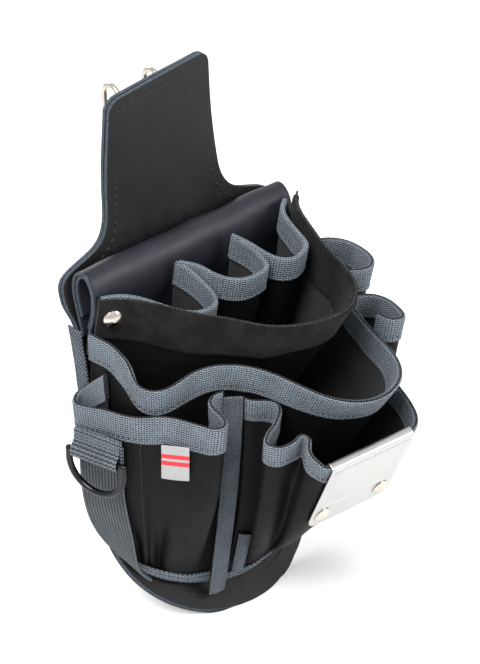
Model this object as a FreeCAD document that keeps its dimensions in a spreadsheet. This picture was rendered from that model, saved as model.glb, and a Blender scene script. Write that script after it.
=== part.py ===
import FreeCAD, Part
import math
import os

from FreeCAD import Placement, Rotation, Vector

# Electrician tool pouch that hangs on a belt.
# Millimetres. +X is the wearer's left to right across the back panel, +Y points to
# the wearer's hip (the rear of the pouch), +Z is up. Z = 0 is the lowest edge of the
# curled leather bottom.

doc = FreeCAD.newDocument("tool_pouch")

# ---------------------------------------------------------------- driving dimensions
SIZES = {
    # leather back panel with its belt tab
    "panel_half_width": 77.0,
    "shoulder_half_width": 82.0,
    "panel_round_centre": 62.0,
    "leather_thick": 2.4,
    "leather_gap": 0.5,
    "tab_top_level": 326.0,
    "tab_rise": 5.0,
    "tab_half_width": 37.5,
    "tab_foot_half_width": 44.0,
    "tab_foot_level": 244.0,
    "shoulder_level": 230.0,
    "tab_corner": 6.5,
    "tab_fillet": 20.0,
    # belt tunnel
    "tunnel_half_length": 77.0,
    "tunnel_leather": 2.0,
    # cloth, suede and webbing
    "cloth_thick": 1.3,
    "band_thick": 3.6,
    "band_skin": 0.9,
    "band_wide": 17.5,
    "band_narrow": 16.0,
    "suede_drop": 27.0,
    "suede_thick": 3.4,
    "hem_height": 11.0,
    "webbing_thick": 1.5,
    # steel tape clip plate
    "plate_width": 60.0,
    "plate_height": 58.0,
    "plate_thick": 1.2,
    "plate_corner": 7.0,
    "plate_lean": 22.5,
    "plate_yaw": -5.7,
    "plate_hook_depth": 6.2,
    "plate_hook_drop": 7.0,
    "panel_fullness": 2.3,
    # rivets
    "rivet_head": 11.0,
    "rivet_rise": 2.6,
    "rivet_shank": 3.0,
    "plate_rivet_spacing": 44.0,
    "plate_rivet_up": 9.0,
    # D-ring and its keeper
    "ring_wire": 4.0,
    "ring_inner": 34.0,
    "ring_straight": 6.0,
    "keeper_length": 31.0,
    "keeper_clearance": 0.05,
    "keeper_wall": 1.6,
    "strap_width": 30.0,
    # wire belt clip
    "clip_wire_dia": 3.2,
    "clip_spacing": 30.0,
    "clip_offset": -7.0,
    "clip_arch": 6.5,
    "clip_top_level": 322.0,
    "clip_foot_level": 251.0,
    "clip_pivot_level": 291.0,
    "clip_plate_thick": 1.5,
    "clip_plate_width": 52.0,
    "clip_plate_height": 34.0,
    "clip_clearance": 0.05,
    # woven side tag
    "tag_width": 16.0,
    "tag_height": 19.0,
    "tag_thick": 0.8,
    # where the design axes stand in the object's own frame
    "shift_left_right": -1.38,
    "shift_front_back": 59.86,
}

sheet = doc.addObject("Spreadsheet::Sheet", "Sizes")
for row, (alias, value) in enumerate(SIZES.items(), start=1):
    sheet.set("A%d" % row, alias)
    sheet.set("B%d" % row, str(value))
    sheet.setAlias("B%d" % row, alias)
doc.recompute()


def cell(alias):
    """A size read back from the sheet."""
    return float(sheet.get(alias))


SHIFT = Vector(cell("shift_left_right"), cell("shift_front_back"), 0.0)
subparts = []


def keep(item, label, base=None, rotation=None):
    """Give a sub-part its label and its place in the object's frame."""
    item.Label = label
    place = SHIFT if base is None else base + SHIFT
    item.Placement = Placement(place, rotation or Rotation())
    subparts.append(item)
    return item


def feature(label, shape):
    """A sub-part whose shape is worked out below."""
    item = doc.addObject("Part::Feature", label)
    item.Shape = shape
    return keep(item, label)


# ------------------------------------------------------------------- curved helpers
SAMPLES = 33


def spline_edge(points):
    curve = Part.BSplineCurve()
    curve.interpolate(points)
    return curve.toShape()


def resample(points, count=SAMPLES):
    """Evenly spaced points along the smooth curve through the given points."""
    return spline_edge([Vector(*point) for point in points]).discretize(count)


def plan_normals(row):
    """Unit vectors across the run of a row, level, to the outside of the pouch."""
    normals = []
    for index in range(len(row)):
        before = row[max(index - 1, 0)]
        after = row[min(index + 1, len(row) - 1)]
        run = after - before
        normals.append(Vector(run.y, -run.x, 0.0).normalize())
    return normals


def moved(row, normals, distance):
    return [point + normal * distance for point, normal in zip(row, normals)]


def ruled(first, second):
    return Part.makeRuledSurface(first, second, 1)


def solid_of(faces):
    """Close a set of faces that meet edge to edge into one solid."""
    shell = Part.makeShell(faces)
    shell.sewShape()
    solid = Part.makeSolid(shell)
    if solid.Volume < 0:
        solid.reverse()
    return solid


def tube_of_rows(ring_rows, cap_quads):
    """A closed solid whose cross-section corners run along the given rows."""
    edges = [spline_edge(row) for row in ring_rows]
    faces = []
    for index, edge in enumerate(edges):
        faces.append(ruled(edge, edges[(index + 1) % len(edges)]))
    for end in (0, -1):
        corners = [row[end] for row in ring_rows]
        for first, second, third, fourth in cap_quads:
            near = Part.makeLine(corners[first], corners[second])
            far = Part.makeLine(corners[fourth], corners[third])
            faces.append(ruled(near, far))
    return solid_of(faces)


def cloth_wall(rows, thickness, offset=0.0):
    """A sheet through rows running from rim to hem, thickened level across its run."""
    normals = [plan_normals(row) for row in rows]
    outer = [moved(row, way, offset + thickness / 2) for row, way in zip(rows, normals)]
    inner = [moved(row, way, offset - thickness / 2) for row, way in zip(rows, normals)]
    last = 2 * len(rows) - 1
    caps = [(index, index + 1, last - 1 - index, last - index) for index in range(len(rows) - 1)]
    return tube_of_rows(outer + inner[::-1], caps)


def lowered(rows, drop):
    """The first row moved down the sheet by a distance."""
    result = []
    for top, below in zip(rows[0], rows[1]):
        result.append(top + (below - top).normalize() * drop)
    return result


def rim_band(rows, height, thickness, skin):
    """A strip folded over the rim of a sheet: an upside-down U along the whole run."""
    normals = plan_normals(rows[0])
    low = lowered(rows, height)
    cap = lowered(rows, skin)
    half = thickness / 2
    corners = [
        moved(rows[0], normals, half),
        moved(low, normals, half),
        moved(low, normals, half - skin),
        moved(cap, normals, half - skin),
        moved(cap, normals, skin - half),
        moved(low, normals, skin - half),
        moved(low, normals, -half),
        moved(rows[0], normals, -half),
    ]
    return tube_of_rows(corners, [(0, 1, 2, 3), (0, 3, 4, 7), (7, 4, 5, 6)])


# ------------------------------------------------------------- leather back panel
# Side view of the panel's front face, from the top of the tab to the curled edge.
PANEL_SIDE = [
    (8.8, 334.0),
    (9.4, 310.0),
    (9.5, 285.0),
    (5.0, 245.0),
    (-0.5, 219.0),
    (-5.5, 196.0),
    (-10.5, 160.0),
    (-15.0, 100.0),
    (-24.5, 62.0),
    (-51.5, 20.0),
    (-75.0, 0.0),
]


def side_curve():
    curve = Part.BSplineCurve()
    curve.interpolate([Vector(0.0, y, z) for y, z in PANEL_SIDE])
    return curve


PANEL_CURVE = side_curve()


def panel_depth(level):
    """Y of the panel's front face at a height, by halving the curve's range."""
    low = PANEL_CURVE.FirstParameter
    high = PANEL_CURVE.LastParameter
    for _ in range(40):
        middle = (low + high) / 2
        if PANEL_CURVE.value(middle).z > level:
            low = middle
        else:
            high = middle
    return PANEL_CURVE.value(low).y


def side_offset(distance):
    """The side view moved square to itself, away from the pockets."""
    first = PANEL_CURVE.FirstParameter
    last = PANEL_CURVE.LastParameter
    points = []
    for index in range(SAMPLES):
        parameter = first + (last - first) * index / (SAMPLES - 1)
        run = PANEL_CURVE.tangent(parameter)[0]
        out = Vector(0.0, -run.z, run.y).normalize()
        points.append(PANEL_CURVE.value(parameter) + out * distance)
    return points


def rounded(corners):
    """A polyline's edges with each corner replaced by an arc of its own radius."""
    edges = []
    last = Vector(*corners[0][:3])
    for index in range(1, len(corners) - 1):
        corner = Vector(*corners[index][:3])
        before = Vector(*corners[index - 1][:3]) - corner
        after = Vector(*corners[index + 1][:3]) - corner
        before.normalize()
        after.normalize()
        half_angle = before.getAngle(after) / 2
        reach = corners[index][3] / math.tan(half_angle)
        start = corner + before * reach
        end = corner + after * reach
        bisector = (before + after).normalize()
        centre = corner + bisector * (corners[index][3] / math.sin(half_angle))
        middle = centre - bisector * corners[index][3]
        edges.append(Part.makeLine(last, start))
        edges.append(Part.Arc(start, middle, end).toShape())
        last = end
    edges.append(Part.makeLine(last, Vector(*corners[-1][:3])))
    return edges


SHOULDER_CORNER = 5.0
WAIST_LEVELS = (214.0, 200.0)
WAIST_CORNER = 12.0


def panel_outline():
    """Front view of the panel: tab, sloping shoulders, straight sides, full round foot."""
    wide = cell("panel_half_width")
    shoulder = cell("shoulder_half_width")
    round_level = cell("panel_round_centre")
    top = cell("tab_top_level")
    tab = cell("tab_half_width")
    foot = cell("tab_foot_half_width")
    halves = []
    for side in (1, -1):
        halves.append([
            (0.0, 0.0, top, 0.0),
            (side * tab, 0.0, top + side * cell("tab_rise"), cell("tab_corner")),
            (side * foot, 0.0, cell("tab_foot_level"), cell("tab_fillet")),
            (side * shoulder, 0.0, cell("shoulder_level"), SHOULDER_CORNER),
            (side * shoulder, 0.0, WAIST_LEVELS[0], WAIST_CORNER),
            (side * wide, 0.0, WAIST_LEVELS[1], WAIST_CORNER),
            (side * wide, 0.0, round_level, 0.0),
        ])
    fullness = 2 / cell("panel_fullness")
    points = []
    for index in range(SAMPLES):
        angle = math.pi * index / (SAMPLES - 1)
        across = math.copysign(abs(math.cos(angle)) ** fullness, math.cos(angle))
        down = abs(math.sin(angle)) ** fullness
        points.append(Vector(wide * across, 0, round_level - round_level * down))
    bottom = spline_edge(points)
    edges = rounded(halves[0]) + [bottom] + rounded(halves[1])
    return Part.Wire(Part.__sortEdges__(edges))


def panel_layer(near, far):
    """One leather layer between two distances behind the panel's front face."""
    reach = cell("shoulder_half_width") + 10
    front = side_offset(near)
    rear = side_offset(far)
    side = Part.Wire([
        spline_edge(front),
        Part.makeLine(front[-1], rear[-1]),
        spline_edge(rear[::-1]),
        Part.makeLine(rear[0], front[0]),
    ])
    bar = Part.Face(side)
    bar.translate(Vector(-reach, 0, 0))
    slab = bar.extrude(Vector(2 * reach, 0, 0))
    outline = Part.Face(panel_outline())
    outline.translate(Vector(0, -150, 0))
    return slab.common(outline.extrude(Vector(0, 300, 0)))


leather = cell("leather_thick")
gap = cell("leather_gap")
feature("back_panel_front", panel_layer(0.0, leather))
feature("back_panel_rear", panel_layer(leather + gap, 2 * leather + gap))

# Belt tunnel: a sheet rolled over into a loop in front of the panel. Side view of its
# middle, from the foot of the rear leg, over the top, to the foot of the front leg.
TUNNEL_SIDE = [
    (-9.0, 195.0),
    (-4.6, 210.0),
    (-1.8, 222.0),
    (-3.8, 232.5),
    (-10.0, 237.0),
    (-16.4, 233.0),
    (-19.5, 224.0),
    (-18.3, 210.0),
    (-14.5, 198.0),
    (-12.4, 183.0),
]


def belt_tunnel():
    curve = Part.BSplineCurve()
    curve.interpolate([Vector(0.0, y, z) for y, z in TUNNEL_SIDE])
    half = cell("tunnel_leather") / 2
    sides = []
    for way in (half, -half):
        points = []
        for index in range(SAMPLES):
            span = curve.LastParameter - curve.FirstParameter
            parameter = curve.FirstParameter + span * index / (SAMPLES - 1)
            run = curve.tangent(parameter)[0]
            points.append(curve.value(parameter) + Vector(0, -run.z, run.y).normalize() * way)
        sides.append(points)
    outline = Part.Wire([
        spline_edge(sides[0]),
        Part.makeLine(sides[0][-1], sides[1][-1]),
        spline_edge(sides[1][::-1]),
        Part.makeLine(sides[1][0], sides[0][0]),
    ])
    face = Part.Face(outline)
    reach = cell("tunnel_half_length")
    face.translate(Vector(-reach, 0, 0))
    return face.extrude(Vector(2 * reach, 0, 0))


feature("belt_tunnel", belt_tunnel())


# ---------------------------------------------------------------------- pockets
def hem_row(half_width, centre, depth, start, end, stand):
    """Points along a half ellipse on the panel's front face, angles in degrees."""
    points = []
    for index in range(SAMPLES):
        angle = math.radians(start + (end - start) * index / (SAMPLES - 1))
        level = centre + depth * math.sin(angle)
        points.append(Vector(half_width * math.cos(angle), panel_depth(level) - stand, level))
    return points


def level_row(points, level):
    return resample([(x, y, level) for x, y in points])


cloth = cell("cloth_thick")
band = cell("band_thick")
skin = cell("band_skin")

# Inner pocket with the suede rim, open towards the wearer.
INNER_RIM = [
    (-77, -25, 226),
    (-66, -28, 225),
    (-52, -39, 222),
    (-36, -59, 216),
    (-21, -73, 212),
    (-7, -87, 208),
    (13, -102, 208),
    (38, -107, 212),
    (52, -95, 217),
    (58, -70, 224),
    (63, -48, 231),
    (70, -31, 236),
    (77, -25, 238),
]
INNER_MIDDLE = [
    (-76, -13.5),
    (-66, -20),
    (-53, -33),
    (-37, -49),
    (-21, -60),
    (-5, -70),
    (13, -79),
    (34, -82),
    (47, -74),
    (54, -57),
    (60, -42),
    (68, -24),
    (76, -13.5),
]
inner_rows = [
    resample(INNER_RIM),
    level_row(INNER_MIDDLE, 165),
    hem_row(71, 98, 30, 180, 360, 2.2),
]
inner_cut = [lowered(inner_rows, skin + 0.2)] + inner_rows[1:]
feature("inner_pocket_wall", cloth_wall(inner_cut, cloth))
feature("suede_rim", rim_band(inner_rows, cell("suede_drop"), cell("suede_thick"), 0.8))

# Three tool sleeves on the rear wall of the inner pocket.
SLEEVES = {
    "tool_sleeve_left": [
        (-63, -23.2),
        (-56, -27.5),
        (-47.6, -38),
        (-40, -46),
        (-31.4, -51.5),
        (-23.4, -53.5),
        (-18.5, -50),
        (-17.5, -38),
        (-17.5, -23.9),
    ],
    "tool_sleeve_middle": [
        (-12.5, -23.9),
        (-12, -36),
        (-9.5, -50),
        (-3, -58),
        (7, -61),
        (17, -59),
        (21.5, -52),
        (22.5, -38),
        (23.5, -23.9),
    ],
    "tool_sleeve_right": [
        (28.5, -23.9),
        (27.5, -38),
        (27.5, -54),
        (31, -62),
        (38, -65),
        (46, -62),
        (50.5, -52),
        (55.5, -38),
        (65, -26),
    ],
}
SLEEVE_TOP = 228.0
SLEEVE_FOOT = 128.0
bands = []
for label, outline in SLEEVES.items():
    foot = [(x * 0.97, panel_depth(SLEEVE_FOOT) + (y + 21.0) * 0.62) for x, y in outline]
    rows = [level_row(outline, SLEEVE_TOP), level_row(foot, SLEEVE_FOOT)]
    bands.append(rim_band(rows, cell("band_narrow"), 3.2, 0.7))
    rows[0] = lowered(rows, 1.0)
    feature(label, cloth_wall(rows, 1.3))
feature("sleeve_binding", Part.makeCompound(bands))

# Main pocket: the big outer wall that the small pockets are sewn to.
MAIN_RIM = [
    (-80.5, -20, 203.5),
    (-80, -28, 203.5),
    (-78.5, -36, 202.5),
    (-77.2, -41, 199.5),
    (-76.6, -47, 195.5),
    (-77, -52, 189.5),
    (-75.5, -54.5, 183.5),
    (-71, -58, 179.5),
    (-65, -61, 178),
    (-58, -63.5, 179),
    (-50, -64.5, 181),
    (-41, -66, 183),
    (-32, -70, 184),
    (-24, -76, 184),
    (-11, -86, 180),
    (0, -104, 174),
    (8, -122, 170),
    (22, -137, 168),
    (41, -140, 168),
    (58, -131, 170),
    (66, -115, 173),
    (68, -99, 177),
    (71, -82, 182),
    (76.5, -60, 189),
    (80, -38, 196),
    (81, -24, 201),
    (81, -12, 203),
]
MAIN_MIDDLE = [
    (-77.5, -16.8),
    (-77, -30),
    (-74, -41),
    (-68, -50),
    (-52, -57),
    (-37, -61),
    (-24, -67.5),
    (-10, -78),
    (6, -95),
    (22, -105),
    (40, -106),
    (54, -100),
    (62, -87),
    (67, -71),
    (72, -55),
    (76, -36),
    (77.5, -16.8),
]
main_rows = [
    resample(MAIN_RIM, 49),
    level_row(MAIN_MIDDLE, 110),
    hem_row(75, 63, 47, 180, 360, 1.6),
]
main_rows = [resample([tuple(point) for point in row], 41) for row in main_rows]
main_cut = [lowered(main_rows, skin + 0.2)] + main_rows[1:]
feature("main_pocket_wall", cloth_wall(main_cut, cloth))
feature("main_rim_binding", rim_band(main_rows, cell("band_wide"), band, skin))

# Two sleeves on the right side of the main pocket.
RIGHT_SLEEVES = {
    "right_sleeve_front": (190.0, [
        (73.8, -97.6),
        (75.5, -109),
        (81, -110),
        (87, -101),
        (89, -89),
        (85, -80),
        (78, -76),
    ]),
    "right_sleeve_rear": (200.0, [
        (80, -67),
        (89, -71),
        (97, -65),
        (103, -51),
        (102, -38),
        (94, -30),
        (85, -28),
    ]),
}
RIGHT_FOOT = 100.0
for label, (top, outline) in RIGHT_SLEEVES.items():
    middle_x = sum(x for x, y in outline) / len(outline)
    middle_y = sum(y for x, y in outline) / len(outline)
    foot = []
    for x, y in outline:
        inward = min(x, 84 + (x - 84) * 0.35) - 3.5
        foot.append((inward, middle_y + 9 + (y - middle_y) * 0.85))
    rows = [level_row(outline, top), level_row(foot, RIGHT_FOOT)]
    feature(label + "_binding", rim_band(rows, cell("band_narrow"), 3.4, 0.8))
    rows[0] = lowered(rows, 1.1)
    feature(label, cloth_wall(rows, 1.4))

# Left pocket: two compartments with a sewn seam between them.
LEFT_RIM = [
    (-83, -35, 184.5),
    (-84.3, -28.5, 178.5),
    (-87, -21.5, 171.5),
    (-91.3, -18.2, 166),
    (-94, -21, 163.5),
    (-92.3, -26.5, 163),
    (-89.2, -32.5, 163),
    (-86.6, -38.5, 163.5),
    (-84.2, -45, 163.5),
    (-81.5, -51.5, 163.5),
    (-77.5, -57.4, 163.5),
    (-72.3, -61.6, 163.5),
    (-67.9, -65.2, 163.5),
    (-63.8, -69.5, 163),
    (-60.6, -74.5, 162.5),
    (-57.7, -80.4, 162),
    (-54.8, -86.5, 161.5),
    (-51.6, -91.5, 161),
    (-47.4, -94.2, 161.5),
    (-43.2, -91.5, 162),
    (-41.6, -86, 163),
    (-41.6, -80.5, 164.5),
    (-40, -76, 166.5),
    (-36, -74.8, 168.5),
    (-31, -77.4, 169.5),
]
LEFT_MIDDLE = [
    (-80.8, -36),
    (-83.9, -30),
    (-84.9, -24),
    (-86.5, -19),
    (-89.4, -20.5),
    (-89.2, -24.5),
    (-87.8, -29.5),
    (-85.7, -35.5),
    (-82.5, -43.5),
    (-78.5, -51.5),
    (-73.5, -57.5),
    (-68, -63.3),
    (-63, -71),
    (-57, -79),
    (-51, -85),
    (-46, -86.2),
    (-42, -82.5),
    (-40, -77.5),
    (-37.2, -74),
    (-33.5, -73.4),
    (-29.5, -74.3),
]
left_rows = [
    resample(LEFT_RIM),
    level_row(LEFT_MIDDLE, 105),
    hem_row(78.7, 66.6, 52, 181, 249, 4.4),
]
left_cut = [lowered(left_rows, skin + 0.2)] + left_rows[1:]
feature("left_pocket_wall", cloth_wall(left_cut, cloth))
feature("left_pocket_binding", rim_band(left_rows, cell("band_wide"), band, skin))

# Front pocket: a narrow sleeve, a pleat, and the wide pocket behind the steel plate.
FRONT_RIM = [
    (-20.5, -83.4, 163.3),
    (-17.8, -86.3, 162),
    (-14, -88.6, 161.2),
    (-9.4, -92, 160.4),
    (-7, -95.5, 159.6),
    (-8.3, -99.4, 158),
    (-12.7, -102.6, 156),
    (-17.2, -104.9, 154.5),
    (-22, -106, 153),
    (-27, -108.5, 152),
    (-30, -111.6, 151),
    (-29, -115.5, 150.5),
    (-25.8, -118.7, 150),
    (-20, -120.1, 150),
    (-13.8, -119.4, 150),
    (-8.3, -118.4, 150),
    (-7, -121, 149.5),
    (-10.6, -126, 149),
    (-14.3, -130, 148),
    (-16.4, -135, 147),
    (-15.9, -140, 145),
    (-14.2, -143, 143),
    (-9.5, -144.4, 141.8),
    (6, -145.3, 140.8),
    (20, -146, 140),
    (46, -148.5, 139),
    (57, -146, 141.5),
    (63.5, -136, 145.5),
    (67.2, -122, 149.5),
    (69, -112, 151),
]
FRONT_MIDDLE = [
    (-18, -77),
    (-15, -79.6),
    (-11.5, -82.4),
    (-8.5, -86),
    (-9.5, -90.5),
    (-13.5, -92.5),
    (-18, -93.5),
    (-22.5, -95.5),
    (-24.5, -99.5),
    (-22, -103.5),
    (-17, -105),
    (-12, -104.5),
    (-8.5, -105.5),
    (-9.5, -110),
    (-12.5, -113.5),
    (-13.5, -117.5),
    (-9.5, -120.5),
    (-3, -121.5),
    (20, -123.5),
    (45, -126),
    (54, -122.5),
    (59.5, -113),
    (63.5, -101),
    (66, -90),
]
front_rows = [
    resample(FRONT_RIM, 61),
    resample([(x, y, 86.0) for x, y in FRONT_MIDDLE], 61),
    hem_row(77, 66, 52, 257, 332, 4.4),
]
front_rows = [resample([tuple(point) for point in row], 61) for row in front_rows]
front_cut = [lowered(front_rows, skin + 0.2)] + front_rows[1:]
feature("front_pocket_wall", cloth_wall(front_cut, cloth))
feature("front_pocket_binding", rim_band(front_rows, cell("band_narrow"), 3.2, 0.7))


HEM_SMOOTHING = 5


def hem_band(rows, height):
    """A strip along the foot of a sheet, on its outer side."""
    foot = rows[-1]
    leans = [(above - low).normalize() for low, above in zip(foot, rows[-2])]
    top = []
    for index, low in enumerate(foot):
        near = leans[max(0, index - HEM_SMOOTHING):index + HEM_SMOOTHING + 1]
        lean = sum(near, Vector()).normalize()
        top.append(low + lean * height)
    offset = cloth / 2 + 0.9 + cell("webbing_thick") / 2
    return cloth_wall([top, foot], cell("webbing_thick"), offset)


feature("left_hem_binding", hem_band(left_rows, cell("hem_height")))
feature("front_hem_binding", hem_band(front_rows, cell("hem_height")))

# Vertical webbing strips: the divider on the front and one down each side seam.
webbing = cell("webbing_thick")
divider_rows = [
    resample([(-31.5, -78.6, 166), (-27.5, -80.8, 166), (-23.6, -83.4, 165)], 9),
    resample([(-31, -74.8, 105), (-27, -76.8, 105), (-23, -79.2, 105)], 9),
    resample([(-33, -64.4, 16.6), (-28.5, -65, 16.1), (-24, -65.6, 15.8)], 9),
]
feature("divider_strip", cloth_wall(divider_rows, webbing, 0.6))


SEAM_GAP = 1.5
SEAM_STAND = 83.2
SEAM_WIDTHS = {-1: 8.0, 1: 5.0}


def seam_strip(side, levels):
    """A strip down the rear edge of the main pocket on one side, following the panel."""
    rows = []
    for level in levels:
        rear = panel_depth(level) - SEAM_GAP
        row = []
        for share in (0.0, 0.5, 1.0):
            row.append(Vector(side * SEAM_STAND, rear - SEAM_WIDTHS[side] * share, level))
        rows.append(row if side < 0 else row[::-1])
    return cloth_wall(rows, webbing)


feature("side_binding_left", seam_strip(-1, (202, 165, 135, 104)))
feature("side_binding_right", seam_strip(1, (202, 165, 135, 100, 72)))

# Folded webbing at the foot of the open fold beside the divider strip.
fold_rows = [
    resample([(-17.5, -75, 58), (-14.5, -77, 57), (-11.5, -79.5, 56)], 9),
    resample([(-17.5, -68.5, 26), (-14.5, -70, 26), (-11.5, -71.5, 26)], 9),
]
feature("fold_webbing", cloth_wall(fold_rows, webbing))

# --------------------------------------------------------------- side strap and ring
STRAP_TOP = 139.0
STRAP_STAND = 2.4
BAR_STAND = 7.2
BAR_DROP = 5.0
strap_run = Vector(9, -33, 0).normalize()
strap_out = Vector(strap_run.y, -strap_run.x, 0)
strap_centre = Vector(-87.9, -36.5, STRAP_TOP)


def strap_row(centre, stand):
    half = strap_run * (cell("strap_width") / 2)
    middle = centre + strap_out * stand
    return [middle - half, middle, middle + half]


strap_rows = [
    strap_row(strap_centre, STRAP_STAND),
    strap_row(Vector(-86.2, -35.0, 105), STRAP_STAND),
    strap_row(Vector(-81.6, -37.0, 74), STRAP_STAND),
]
feature("side_strap", cloth_wall([resample([tuple(p) for p in row], 9) for row in strap_rows],
                                 webbing))

# The D-ring hangs from its straight bar; its own axes: X along the bar, Z up.
bar_axis = strap_centre + strap_out * BAR_STAND + Vector(0, 0, -BAR_DROP)
ring_turn = Rotation(Vector(1, 0, 0), strap_run)


def bound(kind, label, **expressions):
    """A Part primitive with its sizes bound to the sheet."""
    item = doc.addObject(kind, label)
    for name, expression in expressions.items():
        item.setExpression(name, expression)
    return item


bow = bound("Part::Torus", "ring_bow",
            Radius1="(Sizes.ring_inner + Sizes.ring_wire) / 2",
            Radius2="Sizes.ring_wire / 2")
bow.Angle3 = 180
bow.Placement = Placement(Vector(0, 0, -cell("ring_straight")), Rotation(Vector(1, 0, 0), -90))
ring_radius = (cell("ring_inner") + cell("ring_wire")) / 2
ring_pieces = [bow]
for side in (-1, 1):
    leg = bound("Part::Cylinder", "ring_leg_%d" % (side + 1),
                Radius="Sizes.ring_wire / 2", Height="Sizes.ring_straight")
    leg.Placement = Placement(Vector(side * ring_radius, 0, -cell("ring_straight")), Rotation())
    end = bound("Part::Sphere", "ring_corner_%d" % (side + 1), Radius="Sizes.ring_wire / 2")
    end.Placement = Placement(Vector(side * ring_radius, 0, 0), Rotation())
    ring_pieces += [leg, end]
bar = bound("Part::Cylinder", "ring_bar",
            Radius="Sizes.ring_wire / 2", Height="Sizes.ring_inner + Sizes.ring_wire")
bar.Placement = Placement(Vector(-ring_radius, 0, 0), Rotation(Vector(0, 1, 0), 90))
ring_pieces.append(bar)
ring = doc.addObject("Part::MultiFuse", "d_ring")
ring.Shapes = ring_pieces
keep(ring, "d_ring", bar_axis, ring_turn)

# Keeper: webbing folded round the bar and sewn to the strap.
sleeve = bound("Part::Cylinder", "keeper_sleeve",
               Radius="Sizes.ring_wire / 2 + Sizes.keeper_clearance + Sizes.keeper_wall",
               Height="Sizes.keeper_length")
sleeve.Placement = Placement(Vector(-cell("keeper_length") / 2, 0, 0),
                             Rotation(Vector(0, 1, 0), 90))
tail = bound("Part::Box", "keeper_tail", Length="Sizes.keeper_length", Width="3.0",
             Height="15.0")
tail.Placement = Placement(Vector(-cell("keeper_length") / 2, 0.8, 0), Rotation())
solid_keeper = doc.addObject("Part::MultiFuse", "keeper_solid")
solid_keeper.Shapes = [sleeve, tail]
bore = bound("Part::Cylinder", "keeper_bore",
             Radius="Sizes.ring_wire / 2 + Sizes.keeper_clearance",
             Height="Sizes.keeper_length + 2")
bore.Placement = Placement(Vector(-cell("keeper_length") / 2 - 1, 0, 0),
                           Rotation(Vector(0, 1, 0), 90))
keeper = doc.addObject("Part::Cut", "ring_keeper")
keeper.Base = solid_keeper
keeper.Tool = bore
keep(keeper, "ring_keeper", bar_axis, ring_turn)

# Woven side tag, folded under the rim band of the left pocket.
tag = bound("Part::Box", "side_tag", Length="Sizes.tag_width", Width="Sizes.tag_thick",
            Height="Sizes.tag_height")
keep(tag, "side_tag", Vector(-71.2, -68.4, 128.0), Rotation(Vector(0, 0, 1), -53))


# --------------------------------------------------------------------------- rivets
def rivet_body(label, places, depth, cap_behind=True):
    """Domed rivets: a Revolution for each, its dome outside and a cap behind."""
    heads = []
    for number, (centre, rotation) in enumerate(places):
        body = doc.addObject("PartDesign::Body", "%s_%d" % (label, number))
        sketch = body.newObject("Sketcher::SketchObject", "section")
        plane = [f for f in body.Origin.OriginFeatures if f.Role == "XZ_Plane"][0]
        sketch.AttachmentSupport = [(plane, "")]
        sketch.MapMode = "FlatFace"
        head = cell("rivet_head") / 2
        rise = cell("rivet_rise")
        shank = cell("rivet_shank") / 2
        lip = 0.5
        dome = (head * head + (rise - lip) ** 2) / (2 * (rise - lip))
        angle = math.asin(head / dome)
        sketch.addGeometry(Part.ArcOfCircle(
            Part.Circle(Vector(0, rise - dome, 0), Vector(0, 0, 1), dome),
            math.pi / 2 - angle, math.pi / 2))
        corners = [
            Vector(head, lip, 0),
            Vector(head, 0, 0),
            Vector(shank, 0, 0),
            Vector(shank, -depth, 0),
            Vector(head * 0.8, -depth, 0),
            Vector(head * 0.8, -depth - 1.0, 0),
            Vector(0, -depth - 1.4, 0),
            Vector(0, rise, 0),
        ]
        if not cap_behind:
            corners[4:6] = []
        for start, end in zip(corners[:-1], corners[1:]):
            sketch.addGeometry(Part.LineSegment(start, end))
        spin = body.newObject("PartDesign::Revolution", "spin")
        spin.Profile = sketch
        spin.ReferenceAxis = (sketch, ["V_Axis"])
        spin.Angle = 360
        body.Placement = Placement(centre, rotation)
        heads.append(body)
    group = doc.addObject("Part::Compound", label)
    group.Links = heads
    return keep(group, label)


def facing(direction):
    return Rotation(Vector(0, 0, 1), direction)


# Plate frame: its own X runs across, Z up the slope, Y into the pouch.
plate_turn = Rotation(Vector(0, 0, 1), cell("plate_yaw")).multiply(
    Rotation(Vector(1, 0, 0), cell("plate_lean")))
plate_top = Vector(18.3, -148.9, 141.0)
plate_half = cell("plate_width") / 2


def at_plate(x, y, z):
    return plate_top + plate_turn.multVec(Vector(x, y, z))


def sketch_on(body, role, name):
    sketch = body.newObject("Sketcher::SketchObject", name)
    plane = [f for f in body.Origin.OriginFeatures if f.Role == role][0]
    sketch.AttachmentSupport = [(plane, "")]
    sketch.MapMode = "FlatFace"
    return sketch


def add_outline(sketch, edges):
    for edge in edges:
        curve = edge.Curve
        if isinstance(curve, Part.Line):
            ends = [vertex.Point for vertex in edge.Vertexes]
            sketch.addGeometry(Part.LineSegment(ends[0], ends[1]))
        else:
            sketch.addGeometry(Part.ArcOfCircle(curve, edge.FirstParameter,
                                                edge.LastParameter))


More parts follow.
